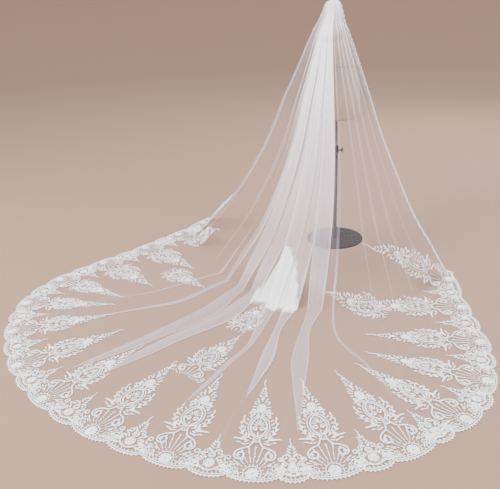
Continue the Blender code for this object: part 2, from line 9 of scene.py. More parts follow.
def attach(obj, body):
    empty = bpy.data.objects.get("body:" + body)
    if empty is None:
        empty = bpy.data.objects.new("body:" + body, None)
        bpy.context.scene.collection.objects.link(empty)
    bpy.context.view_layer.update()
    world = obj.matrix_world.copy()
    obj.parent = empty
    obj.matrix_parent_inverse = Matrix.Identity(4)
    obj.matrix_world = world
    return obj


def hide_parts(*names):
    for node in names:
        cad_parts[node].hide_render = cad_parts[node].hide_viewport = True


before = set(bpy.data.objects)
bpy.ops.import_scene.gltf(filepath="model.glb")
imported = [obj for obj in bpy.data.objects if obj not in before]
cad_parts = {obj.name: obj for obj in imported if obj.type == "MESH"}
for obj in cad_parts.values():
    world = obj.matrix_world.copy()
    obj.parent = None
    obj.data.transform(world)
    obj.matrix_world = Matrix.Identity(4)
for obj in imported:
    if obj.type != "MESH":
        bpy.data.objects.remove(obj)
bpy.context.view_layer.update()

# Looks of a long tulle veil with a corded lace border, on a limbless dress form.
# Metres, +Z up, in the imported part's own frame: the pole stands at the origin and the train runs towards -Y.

cloth = {
    "rightEdge": -15.0,        # angles of the two front edges about the pole, degrees
    "leftEdge": -180.0,
    "facing": -150.0,          # way that the form faces
    "lean": 0.035,             # how far forward of the pole the neck is
    "neckTop": 1.553,
    "offForm": 0.010,
    "seat": 0.008,
    "crownFrom": 1.45, "crownOver": 0.08, "crownAside": 0.014,     # the crown sits to the right of the neck
    "level": 0.0013,           # height of the net on the floor
    # height, reach of a cloth whose foot is 1 m from the pole
    "profile": (
        (1.604, .010), (1.602, .022), (1.595, .036), (1.580, .047), (1.555, .056), (1.505, .076), (1.465, .100),
        (1.430, .122),
        (1.390, .142), (1.345, .165), (1.290, .190), (1.220, .225), (1.130, .270), (1.012, .332), (.860, .398),
        (.700, .478), (.540, .572), (.400, .660), (.270, .758), (.160, .862), (.070, .938), (.022, .978),
        (.0022, 1.000)),
    # angle about the pole, where the cloth meets the floor, where the hem lies
    "outline": (
        (-15, .86, .91), (-20, .88, .97), (-30, .92, 1.17), (-36, .95, 1.38), (-40, .97, 1.57), (-45, .99, 1.78),
        (-50, 1.00, 1.95), (-56, 1.02, 2.07), (-64, 1.04, 2.21), (-76, 1.06, 2.33), (-92, 1.03, 2.37),
        (-106, .98, 2.37), (-118, .95, 2.31), (-126, .96, 2.23), (-132, .97, 2.12), (-137, .97, 1.96),
        (-142, .98, 1.73), (-148, .99, 1.50), (-156, 1.00, 1.32), (-167, 1.03, 1.17), (-180, 1.06, 1.11)),
    # soft upright folds: angle, half width in degrees, depth at the floor
    "folds": (
        (-24, 3.0, .014), (-35, 3.5, .020), (-47, 3.0, .016), (-59, 3.5, .022), (-78, 3.5, .034), (-87, 3.5, .030),
        (-95, 3.0, .036), (-103, 3.5, .028), (-112, 4.0, .034), (-122, 4.0, .026), (-132, 4.0, .030),
        (-142, 4.0, .024), (-153, 4.5, .028), (-164, 4.5, .022), (-174, 3.0, .016)),
}

form = {
    # height, reach to the front, to the back, half width
    "sections": (
        (.885, .136, .136, .166), (.920, .140, .145, .171), (.990, .127, .148, .172), (1.060, .106, .142, .158),
        (1.130, .084, .130, .136), (1.190, .073, .117, .123), (1.240, .074, .102, .121), (1.285, .098, .086, .126),
        (1.325, .128, .070, .134), (1.365, .143, .056, .141), (1.400, .144, .047, .142), (1.432, .124, .042, .126),
        (1.460, .098, .034, .096), (1.482, .084, .022, .064), (1.505, .082, .014, .050), (1.550, .080, .010, .046)),
    "square": 2.3,             # 2 gives ellipses, more gives squarer sections
    "bottom": .885, "top": 1.550,
    "around": 144, "rows": 120,
    "edge": .014,              # rounding of the lower edge
    "seams": (0, 42.5, 90, 137.5, 180, 222.5, 270, 317.5),     # upright seams, from the front, degrees
    "groove": .0013,
    "tape": 1.212, "tapeHeight": .014, "tapeOff": .0007,       # tape round the waist
    # neck cap: radius and height, down its outer side
    "cap": ((.0, 1.6010), (.0090, 1.6006), (.0180, 1.5985), (.0260, 1.5945), (.0330, 1.5885), (.0385, 1.5800),
            (.0425, 1.5700), (.0448, 1.5600), (.0454, 1.5560), (.0450, 1.5520), (.0435, 1.5505), (.0, 1.5505)),
}


def ease(value):
    value = min(1.0, max(0.0, value))
    return value * value * (3.0 - 2.0 * value)


def readTable(table, at, column):
    # a smooth curve through one column of a table, whose first column rises or falls steadily
    sign = 1.0 if table[-1][0] > table[0][0] else -1.0
    last = len(table) - 1
    if sign * at <= sign * table[0][0]:
        return table[0][column]
    if sign * at >= sign * table[last][0]:
        return table[last][column]
    row = 0
    while sign * table[row + 1][0] < sign * at:
        row += 1

    def slope(index):
        low, high = max(0, index - 1), min(last, index + 1)
        return (table[high][column] - table[low][column]) / (table[high][0] - table[low][0])

    start, end = table[row], table[row + 1]
    span = end[0] - start[0]
    part = (at - start[0]) / span
    hold = part * part * (3.0 - 2.0 * part)
    rise = part * (1.0 - part) ** 2 * span
    fall = part * part * (part - 1.0) * span
    return start[column] * (1.0 - hold) + end[column] * hold + slope(row) * rise + slope(row + 1) * fall


def lineTable(points, at):
    # straight lines through pairs of numbers
    if at <= points[0][0]:
        return points[0][1]
    for low, high in zip(points, points[1:]):
        if at <= high[0]:
            return low[1] + (high[1] - low[1]) * (at - low[0]) / max(1e-9, high[0] - low[0])
    return points[-1][1]


def polar(angle, radius):
    turn = math.radians(angle)
    return Vector((radius * math.cos(turn), radius * math.sin(turn)))


# Shape of the cloth, as the solids have it

def formSection(height):
    front = readTable(form["sections"], height, 1)
    back = readTable(form["sections"], height, 2)
    return (front - back) / 2.0, (front + back) / 2.0, readTable(form["sections"], height, 3)


def clearOfForm(spot, height):
    ahead, depth, width = formSection(height)
    middle = polar(cloth["facing"], ahead)
    out = spot - middle
    turn = math.atan2(out.y, out.x) - math.radians(cloth["facing"])
    square = form["square"]
    along = (abs(math.cos(turn)) / depth) ** square
    aside = (abs(math.sin(turn)) / width) ** square
    least = (along + aside) ** (-1.0 / square) + cloth["offForm"]
    return spot if out.length > least else middle + out.normalized() * least


def foldDepth(angle, height):
    fade = ease((1.46 - height) / 1.25) * 0.95 + 0.05 * ease((1.58 - height) / 0.1)
    depth = 0.0
    for middle, half, deep in cloth["folds"]:
        away = abs(angle - middle) / (half * 1.6)
        if away < 1.0:
            depth += deep * (1.0 - ease(away))
    return depth * fade


def crowned(spot):
    # the side of the crown away from the face bulges
    above = ease((spot.z - cloth["crownFrom"]) / cloth["crownOver"])
    spot.x += cloth["crownAside"] * above * ease((spot.x + .09) / .12)
    return spot


def hangingPoint(angle, height, lift=0.0):
    reach = readTable(cloth["profile"], height, 1)
    spread = 1.0 - ease((height - 0.9) / 0.6)
    radius = reach * (1.0 + (readTable(cloth["outline"], angle, 1) - 1.0) * spread)
    radius += foldDepth(angle, height) * min(1.0, radius / 0.25)
    spot = polar(angle, radius) + polar(cloth["facing"], cloth["lean"] * ease((height - 0.5) / 1.0))
    if height < cloth["neckTop"]:
        spot = clearOfForm(spot, height)
    spot += polar(angle, lift)
    return crowned(Vector((spot.x, spot.y, height)))


class HemLine:
    # the smooth hem line, read by the distance along it from the right front corner

    def __init__(self, steps=660):
        self.points, self.along = [], [0.0]
        for step in range(steps + 1):
            angle = cloth["rightEdge"] + (cloth["leftEdge"] - cloth["rightEdge"]) * step / steps
            self.points.append(polar(angle, readTable(cloth["outline"], angle, 2)))
        for start, end in zip(self.points, self.points[1:]):
            self.along.append(self.along[-1] + (end - start).length)
        self.length = self.along[-1]

    def place(self, distance):
        distance = min(self.length, max(0.0, distance))
        low, high = 0, len(self.along) - 1
        while high - low > 1:
            middle = (low + high) // 2
            if self.along[middle] > distance:
                high = middle
            else:
                low = middle
        part = (distance - self.along[low]) / (self.along[high] - self.along[low])
        return self.points[low].lerp(self.points[high], part)

    def outward(self, distance, reach=0.06):
        along = self.place(distance + reach) - self.place(distance - reach)
        return Vector((-along.y, along.x)).normalized()

    def inside(self, distance, height):
        return self.place(distance) - self.outward(distance) * height


hem = HemLine()
print("hem line", round(hem.length, 3), "m")


def angleAt(distance):
    # angle of the cloth column that ends at a distance along the hem
    return cloth["rightEdge"] + (cloth["leftEdge"] - cloth["rightEdge"]) * distance / hem.length


def distanceAt(angle):
    return (angle - cloth["rightEdge"]) / (cloth["leftEdge"] - cloth["rightEdge"]) * hem.length


columnEnds = {}


def columnEnd(distance):
    # foot, hem point, outward way and reach of one column of the train
    key = round(distance, 4)
    if key not in columnEnds:
        angle = angleAt(distance)
        foot = hangingPoint(angle, cloth["profile"][-1][0])
        inner = Vector((foot.x, foot.y)) - polar(angle, cloth["seat"])
        outer = hem.place(distance)
        columnEnds[key] = (inner, outer, polar(angle, 1.0), hem.outward(distance), (outer - inner).length)
    return columnEnds[key]


def floorPoint(distance, share):
    # a column of the train runs off the foot of the hanging cloth and meets the hem squarely
    inner, outer, leave, meet, reach = columnEnd(distance)
    hold = share * share * (3.0 - 2.0 * share)
    start = leave * reach * (share * (1.0 - share) ** 2)
    end = meet * reach * (share * share * (share - 1.0))
    return inner * (1.0 - hold) + outer * hold + start + end


def climbTable():
    # height of the hanging cloth by the length of cloth between it and the floor
    rows, length = [(0.0, cloth["profile"][-1][0])], 0.0
    for low, high in zip(reversed(cloth["profile"]), list(reversed(cloth["profile"]))[1:]):
        length += math.hypot(high[0] - low[0], high[1] - low[1])
        rows.append((length, high[0]))
    return rows


climb = climbTable()


def onCloth(distance, height, lift=0.0):
    # a point of the cloth at a height above the hem, measured along the cloth: on the floor, then up the drape
    distance = min(hem.length, max(0.0, distance))
    reach = columnEnd(distance)[4]
    if height <= reach:
        spot = floorPoint(distance, 1.0 - height / reach)
        return Vector((spot.x, spot.y, cloth["level"] + lift))
    level = lineTable(climb, height - reach)
    spot = hangingPoint(angleAt(distance), level, lift * 0.8)
    return spot + Vector((0.0, 0.0, lift * 0.6))


def overCloth(spot, lift):
    # a place in the plan of the train, which climbs the hanging cloth where it lies inside its foot
    angle = math.degrees(math.atan2(spot.y, spot.x))
    angle = angle - 360.0 if angle > 90.0 else angle
    foot = hangingPoint(angle, cloth["profile"][-1][0])
    over = math.hypot(foot.x, foot.y) - spot.length
    if over <= 0.0:
        return Vector((spot.x, spot.y, cloth["level"] + lift))
    raised = hangingPoint(angle, lineTable(climb, over), lift * 0.8)
    return raised + Vector((0.0, 0.0, lift * 0.6))


# Camera, floor and light

camera = {
    "spot": (1.3392, -3.5657, 1.6),
    "heading": 120.0, "down": 23.3, "roll": 2.85,
    "focalPixels": 556.0, "pictureWidth": 500.0, "sensor": 36.0,
}


def buildCamera():
    heading, down, roll = (math.radians(camera[name]) for name in ("heading", "down", "roll"))
    ahead = Vector((math.cos(heading) * math.cos(down), math.sin(heading) * math.cos(down), -math.sin(down)))
    right = ahead.cross(Vector((0.0, 0.0, 1.0))).normalized()
    above = right.cross(ahead)
    across = right * math.cos(roll) - above * math.sin(roll)
    upward = above * math.cos(roll) + right * math.sin(roll)
    data = bpy.data.cameras.new("camera")
    data.sensor_width = camera["sensor"]
    data.lens = camera["focalPixels"] / camera["pictureWidth"] * camera["sensor"]
    data.clip_end = 60.0
    item = bpy.data.objects.new("camera", data)
    bpy.context.scene.collection.objects.link(item)
    turn = Matrix((across, upward, -ahead)).transposed().to_4x4()
    item.matrix_world = Matrix.Translation(Vector(camera["spot"])) @ turn
    bpy.context.scene.camera = item


def plainMaterial(name, colour, roughness, metallic=0.0):
    finish = bpy.data.materials.new(name)
    finish.use_nodes = True
    shader = finish.node_tree.nodes["Principled BSDF"]
    shader.inputs["Base Color"].default_value = (*colour, 1.0)
    shader.inputs["Roughness"].default_value = roughness
    shader.inputs["Metallic"].default_value = metallic
    return finish


def areaLight(name, spot, target, size, power, colour):
    data = bpy.data.lights.new(name, "AREA")
    data.shape = "DISK"
    data.size = size
    data.energy = power
    data.color = colour
    item = bpy.data.objects.new(name, data)
    bpy.context.scene.collection.objects.link(item)
    item.location = spot
    item.rotation_euler = (Vector(target) - Vector(spot)).to_track_quat("-Z", "Y").to_euler()


studio = {
    "colour": (0.275, 0.162, 0.108), "flat": 12.0, "rim": 18.0, "height": 7.0, "steps": 72,
    # name, place, target, size, power, colour
    "lights": (
        ("key", (-2.8, -4.2, 4.6), (0.0, -1.0, 0.3), 2.6, 520.0, (1.0, 0.98, 0.95)),
        ("fill", (4.6, -2.4, 3.2), (0.1, -0.8, 0.6), 3.0, 190.0, (0.95, 0.97, 1.0)),
        ("back", (0.5, 4.6, 3.8), (0.0, -0.2, 0.8), 3.0, 220.0, (1.0, 1.0, 1.0))),
    "sky": (0.94, 0.96, 1.0), "skyStrength": 2.1,
}


def buildStudio():
    # a flat floor that sweeps up far away all round
    spots, faces, steps = [(0.0, 0.0, 0.0)], [], studio["steps"]
    rings = [(studio["flat"], 0.0)]
    for step in range(1, 13):
        turn = math.pi / 2.0 * step / 12
        rings.append((studio["flat"] + (studio["rim"] - studio["flat"]) * math.sin(turn),
                      studio["height"] * (1.0 - math.cos(turn))))
    for radius, height in rings:
        for step in range(steps):
            turn = 2.0 * math.pi * step / steps
            spots.append((radius * math.cos(turn), radius * math.sin(turn), height))
    for step in range(steps):
        after = (step + 1) % steps
        faces.append((0, 1 + step, 1 + after))
        for ring in range(len(rings) - 1):
            low = 1 + ring * steps
            faces.append((low + step, low + steps + step, low + steps + after, low + after))
    mesh = bpy.data.meshes.new("studio_floor")
    mesh.from_pydata(spots, [], faces)
    mesh.shade_smooth()
    item = bpy.data.objects.new("studio_floor", mesh)
    bpy.context.scene.collection.objects.link(item)
    mesh.materials.append(plainMaterial("paleFloor", studio["colour"], 0.75))
    for light in studio["lights"]:
        areaLight(*light)
    world = bpy.data.worlds.new("studio")
    world.use_nodes = True
    background = world.node_tree.nodes["Background"]
    background.inputs["Color"].default_value = (*studio["sky"], 1.0)
    background.inputs["Strength"].default_value = studio["skyStrength"]
    bpy.context.scene.world = world


buildCamera()
buildStudio()
print("camera, floor and light")


# Net of the veil

net = {
    "columns": 380,            # evenly spaced columns, before those of the pleats
    "hangingSteps": 3,         # rows between two heights of the profile
    "floorRows": 34,
    "layer": 0.0017,           # distance between two layers of a pleat on the floor
    "layerHanging": 0.0034,
    "spread": 2.1,             # degrees of cloth on each side of a pleat that it takes up
    "drift": 2.2,              # more than 1 keeps a pleat's move aside for the lower part of the drape
    # height, how open a pleat is there
    "slack": ((1.604, .30), (1.50, .85), (1.30, 1.0), (.90, 1.0), (.45, .97), (.22, .84), (.0022, .62)),
    "cover": 0.024,            # share of what lies behind that one flat layer hides
    "gathersFrom": 0.55,       # distance from the pole inside which the gathers thicken
    "thicken": 2.0,            # power by which they thicken as the cloth narrows
    "pleatFloor": 11.0,        # how much denser the folded-back layer of a pleat is, on the floor
    "pleatHanging": 2.5,
    "mostLayers": 160.0,
    "shadedThin": (.76, .64, .72),   # colour of one layer, and of a thick gather from so many layers up: the lavender is the net's own, while the darker tone of one layer is painted shade low on the floor and the whiter gathers are painted light higher up
    "litThick": (.93, .91, .95),
    "litWhiteFrom": 60.0,
    "crease": 2.0,             # how much denser a crease is
    # angles between which the hanging cloth lies bunched, how soft the ends are, and how much denser it is
    "bunch": (-70.0, -108.0, 2.5, 11.0),
    "fade": (0.55, 0.35, 0.80),    # how far down the bunch thins out, over what run, and by what share
    # a heap of layers at the foot: angle of its middle, half width there, height of its tip, layers
    "heap": (-88.0, 7.5, .26, 90.0),
}

# Doubled pleats. top and foot: angle at the neck and where the cloth meets the floor; half: half width there;
# over: 1 where the left side lies over the right one, else -1; rank: layers of its neighbours under it;
# floor: points x, y and half width on the floor.
pleats = (
    {"top": -24, "foot": -24, "half": .010, "over": -1, "floor": ()},
    {"top": -32, "foot": -31, "half": .014, "over": 1, "floor": ()},
    {"top": -41, "foot": -41, "half": .017, "over": 1, "floor": ()},
    {"top": -49, "foot": -49.5, "half": .013, "over": -1, "floor": ()},
    {"top": -56, "foot": -57, "half": .010, "over": 1, "floor": ()},
    {"top": -65, "foot": -69.5, "half": .009, "over": 1, "floor": (
        (.49, -1.24, .005), (.73, -1.43, .004), (.90, -1.59, .000))},
    {"top": -73.5, "foot": -75, "half": .062, "over": 1, "rank": 3, "floor": (
        (.31, -1.235, .024), (.39, -1.485, .043), (.472, -1.685, .032), (.541, -1.838, .015),
        (.601, -1.975, .000))},
    {"top": -79.5, "foot": -82.5, "half": .064, "over": 1, "floor": (
        (.17, -1.27, .018), (.24, -1.54, .034), (.28, -1.75, .018), (.30, -1.88, .000))},
    {"top": -85.5, "foot": -88.5, "half": .066, "over": -1, "rank": 3, "floor": (
        (.107, -1.464, .013), (.092, -1.668, .012), (.081, -1.884, .010), (.07, -2.05, .000))},
    {"top": -91.5, "foot": -97, "half": .070, "over": 1, "floor": (
        (-.15, -1.26, .052), (-.27, -1.58, .045), (-.37, -1.86, .030), (-.43, -2.06, .000))},
    {"top": -97.5, "foot": -104, "half": .066, "over": 1, "rank": 3, "floor": (
        (-.265, -1.26, .050), (-.38, -1.60, .044), (-.50, -1.87, .030), (-.60, -2.07, .000))},
    {"top": -103.5, "foot": -112, "half": .030, "over": 1, "floor": (
        (-.48, -1.24, .018), (-.68, -1.46, .012), (-.88, -1.66, .000))},
    {"top": -109.5, "foot": -119, "half": .018, "over": 1, "floor": ((-.70, -1.22, .007), (-.92, -1.44, .000))},
    {"top": -117, "foot": -127, "half": .018, "over": -1, "floor": ()},
    {"top": -134, "foot": -134, "half": .014, "over": 1, "floor": ()},
    {"top": -143, "foot": -142, "half": .010, "over": 1, "floor": ()},
    {"top": -152, "foot": -151, "half": .018, "over": -1, "floor": ()},
    {"top": -162, "foot": -161, "half": .012, "over": 1, "floor": ()},
    {"top": -171, "foot": -171, "half": .010, "over": 1, "floor": ()},
)


def cellFor(x, y):
    # column angle and share of the train's depth at a place on the floor, by search
    target, best = Vector((x, y)), None
    low, high, first, last, steps = -16.0, -179.0, 0.0, 1.0, 24
    for turn in range(4):
        best = None
        for column in range(steps + 1):
            angle = low + (high - low) * column / steps
            for row in range(steps + 1):
                share = first + (last - first) * row / steps
                away = (floorPoint(distanceAt(angle), share) - target).length
                if best is None or away < best[0]:
                    best = (away, angle, share)
        half, deep = abs(high - low) / steps * 1.2, (last - first) / steps * 1.2
        low, high = best[1] + half, best[1] - half
        first, last = max(0.0, best[2] - deep), min(1.0, best[2] + deep)
    return best[1], best[2]


def columnPitch(angle, station):
    # metres of cloth path for one degree of column: station runs 0 to 1 down the drape, 1 to 2 over the floor
    if station <= 1.0:
        height = stationHeight(station)
        return math.radians(readTable(cloth["profile"], height, 1))
    foot = math.radians(readTable(cloth["outline"], angle, 1))
    edge = hem.length / (cloth["rightEdge"] - cloth["leftEdge"])
    return foot + (edge - foot) * ease(station - 1.0)


def stationHeight(station):
    top, bottom = cloth["profile"][0][0], cloth["profile"][-1][0]
    return top + (bottom - top) * min(1.0, station)


def stationOf(height):
    top, bottom = cloth["profile"][0][0], cloth["profile"][-1][0]
    return (top - height) / (top - bottom)


def pleatPath(pleat):
    # rows of a pleat: station, angle of its middle, half width in degrees, which is negative where it lies flat
    flat = -net["spread"] / 3.0
    rows = []
    for height, slack in net["slack"]:
        station = stationOf(height)
        angle = pleat["top"] + (pleat["foot"] - pleat["top"]) * station ** net["drift"]
        reach = readTable(cloth["profile"], height, 1)
        if not pleat["floor"]:  # a pleat without a run on the floor closes above it
            slack *= ease((height - .02) / .5)
        half = pleat["half"] * slack * reach ** 0.75
        rows.append((station, angle, math.degrees(half / reach)))
    for x, y, half in pleat["floor"]:
        angle, share = cellFor(x, y)
        wide = half / columnPitch(angle, 1.0 + share)
        rows.append((1.0 + share, angle, wide if half > 0.0 else 0.0))
    end = rows[-1]
    if end[0] < 1.9:
        rows.append((end[0] + 0.08, end[1], flat))
    rows.append((2.0, end[1], flat))
    return rows


def pleatState(rows, station):
    return readTable(rows, station, 1), readTable(rows, station, 2)


def sheetColumns():
    # column angles of the cloth: evenly spaced, with more at each crease
    spread = net["spread"]
    angles = set()
    for step in range(net["columns"] + 1):
        angles.add(round(cloth["rightEdge"] + (cloth["leftEdge"] - cloth["rightEdge"]) * step / net["columns"], 4))
    for pleat in pleats:
        for side in (-1.0, 1.0):
            for near in (0.0, 0.12, -0.12):
                angles.add(round(pleat["foot"] + side * spread / 3.0 + near, 4))
            angles.add(round(pleat["foot"] + side * spread, 4))
    return sorted(angles, reverse=True)


def creasedRow(columns, paths, station):
    # where each column lies in one row, how many layers up it lies, and how near a crease it is
    spread, third = net["spread"], net["spread"] / 3.0
    knots = [(cloth["rightEdge"], cloth["rightEdge"], 0.0)]
    for pleat, path in zip(pleats, paths):
        middle, half = pleatState(path, station)
        foot, up = pleat["foot"], min(1.0, max(0.0, (half + third) / third))
        base = pleat.get("rank", 0) * (1.0 - ease((station - 0.80) / 0.18))
        first, last = (0.0, 2.0) if pleat["over"] > 0 else (2.0, 0.0)
        knots.append((foot + spread, middle + spread, base))
        knots.append((foot + third, middle - half, base + first * up))
        knots.append((foot + third - 0.12, middle - half, base + (first * .75 + .25) * up))
        knots.append((foot - third + 0.12, middle + half, base + (last * .75 + .25) * up))
        knots.append((foot - third, middle + half, base + last * up))
        knots.append((foot - spread, middle - spread, base))
    knots.append((cloth["leftEdge"], cloth["leftEdge"], 0.0))
    row, index = [], 0
    for angle in columns:
        while index < len(knots) - 2 and knots[index + 1][0] > angle:
            index += 1
        low, high = knots[index], knots[index + 1]
        part = min(1.0, max(0.0, (angle - low[0]) / min(-1e-6, high[0] - low[0])))
        row.append((low[1] + (high[1] - low[1]) * part, low[2] + (high[2] - low[2]) * part))
    return row


def addObject(name, mesh, finish=None):
    item = bpy.data.objects.new(name, mesh)
    bpy.context.scene.collection.objects.link(item)
    if finish:
        mesh.materials.append(finish)
    return item


# Corded lace
lace = {
    # distances along the hem of the large motifs, from the right front corner; a small one lies between two
    "places": (.44, .79, 1.12, 1.45, 1.76, 2.10, 2.42, 2.78, 3.16, 3.53, 3.89, 4.26, 4.60, 4.95, 5.29, 5.63, 5.95),
    "halves": ((0.0, 3.345), (3.345, 7.0)),        # stretches of the hem, each with its own pieces
    "corners": (.10, 6.23),    # two more large ones at the front corners, which climb the hanging cloth
    "scallop": 0.028,          # depth of a scallop
    "largeScallop": 0.205,     # width of the scallop under a large motif
    "axisReach": 0.40,         # length of hem on each side that sets the way of a motif's axis
    "footLow": 0.04,           # up to this height a motif follows the hem
    "footRun": 0.08,           # height over which it straightens
    "band": 0.075,
    "pinch": 0.9,              # how much a motif narrows where the hem turns, against the room there
    "leastWidth": 0.6,
    "wide": 1.06,              # stretch of the large motif as drawn below
    "high": 1.05,
    "boldCord": 1.45,          # thickness of the strokes as drawn below
    "boldLeaf": 1.30,
    "cordRise": 0.42,          # height of a cord as a share of its width
    "leafRise": 0.18,          # the same for the padded leaves and petals
    "above": 0.0006,           # air between the net and the lace
    "sides": 5,
    "seed": 11,
}


def scallopBounds():
    half, bounds = lace["largeScallop"] / 2.0, [0.0]
    for place in lace["places"]:
        bounds += [place - half, place + half]
    return bounds + [hem.length]


bounds = scallopBounds()


def scallop(distance):
    # depth of the hem's edge inside the line that its scallops touch
    for low, high in zip(bounds, bounds[1:]):
        if distance <= high:
            break
    across = 2.0 * (distance - low) / (high - low) - 1.0
    return lace["scallop"] * (1.0 - math.sqrt(max(0.0, 1.0 - across * across)))


def motifPlace(middle):
    # where a motif's points lie: it follows the hem at its foot, and is straight above
    root = hem.place(middle)
    ahead = -hem.outward(middle, lace["axisReach"])
    along = Vector((-ahead.y, ahead.x))
    wide, band = lace["largeScallop"], lace["band"]
    inner = (hem.inside(middle + wide, band) - hem.inside(middle - wide, band)).length
    outer = (hem.place(middle + wide) - hem.place(middle - wide)).length
    pinch = max(0.0, 1.0 - inner / outer) / band * lace["pinch"]

    def spotAt(aside, height, lift):
        near = hem.inside(middle + aside, height)
        narrow = aside * max(lace["leastWidth"], 1.0 - pinch * height)
        straight = root + ahead * height + along * narrow
        part = ease((height - lace["footLow"]) / lace["footRun"])
        return overCloth(near.lerp(straight, part), lift)

    return spotAt


# rises and falls of a leaf's half width along its length
leafShape = ((0.0, .25), (.25, .86), (.52, 1.0), (.80, .66), (1.0, .12))


class Pattern:
    # a motif in its own flat place: x aside, t above the hem, both in metres, with the half width of each stroke

    def __init__(self):
        self.cords, self.leaves = [], []

    def cord(self, points, half, end=None):
        last = len(points) - 1
        end = half if end is None else end
        self.cords.append([(x, t, half + (end - half) * step / last) for step, (x, t) in enumerate(points)])

    def arc(self, middle, radius, start, end, half, steps=10, last=None):
        # angles in degrees from +t towards +x, radius may change on the way
        last = radius if last is None else last
        points = []
        for step in range(steps + 1):
            part = step / steps
            turn = math.radians(start + (end - start) * part)
            reach = radius + (last - radius) * part
            points.append((middle[0] + reach * math.sin(turn), middle[1] + reach * math.cos(turn)))
        self.cord(points, half)
        return points

    def bend(self, points, half, end=None, steps=5):
        # a smooth cord through a few points
        path = []
        for index in range(len(points) - 1):
            before = points[max(0, index - 1)]
            low, high = points[index], points[index + 1]
            after = points[min(len(points) - 1, index + 2)]
            for step in range(steps):
                s = step / steps
                path.append(tuple(
                    .5 * (2 * low[k] + (high[k] - before[k]) * s
                          + (2 * before[k] - 5 * low[k] + 4 * high[k] - after[k]) * s * s
                          + (3 * low[k] - before[k] - 3 * high[k] + after[k]) * s ** 3) for k in (0, 1)))
        path.append(points[-1])
        self.cord(path, half, end)
        return path

    def leaf(self, x, t, heading, length, half, curl=0.0):
        points, turn, before = [], math.radians(heading - curl / 2.0), 0.0
        for share, wide in leafShape:
            step = (share - before) * length
            x, t = x + step * math.sin(turn), t + step * math.cos(turn)
            points.append((x, t, half * wide))
            turn += math.radians(curl) * (share - before)
            before = share
        self.leaves.append(points)

    def dot(self, x, t, half):
        self.leaves.append([(x, t - half * .9, half * .35), (x, t - half * .4, half), (x, t + half * .4, half),
                            (x, t + half * .9, half * .35)])

    def flower(self, x, t, petals, inner, outer, half, eye=0.0):
        for petal in range(petals):
            heading = 360.0 * (petal + .5) / petals
            turn = math.radians(heading)
            self.leaf(x + inner * math.sin(turn), t + inner * math.cos(turn), heading, outer - inner, half)
        if eye:
            self.arc((x, t), inner, 0, 360, eye, 9)

    def stretch(self, wide, high):
        for strokes in (self.cords, self.leaves):
            strokes[:] = [[(x * wide, t * high, half) for x, t, half in stroke] for stroke in strokes]

    def scroll(self, points, middle, wide, narrow, start, sweep, half, bulb):
        # a cord that comes in along some points and winds into a spiral that ends in a bulb
        path = [(middle[0] + wide * math.sin(math.radians(start)), middle[1] + wide * math.cos(math.radians(start)))]
        self.bend(list(points) + path, half)
        end = self.arc(middle, wide, start, start + sweep, half, 14, narrow)[-1]
        self.dot(end[0], end[1], bulb)


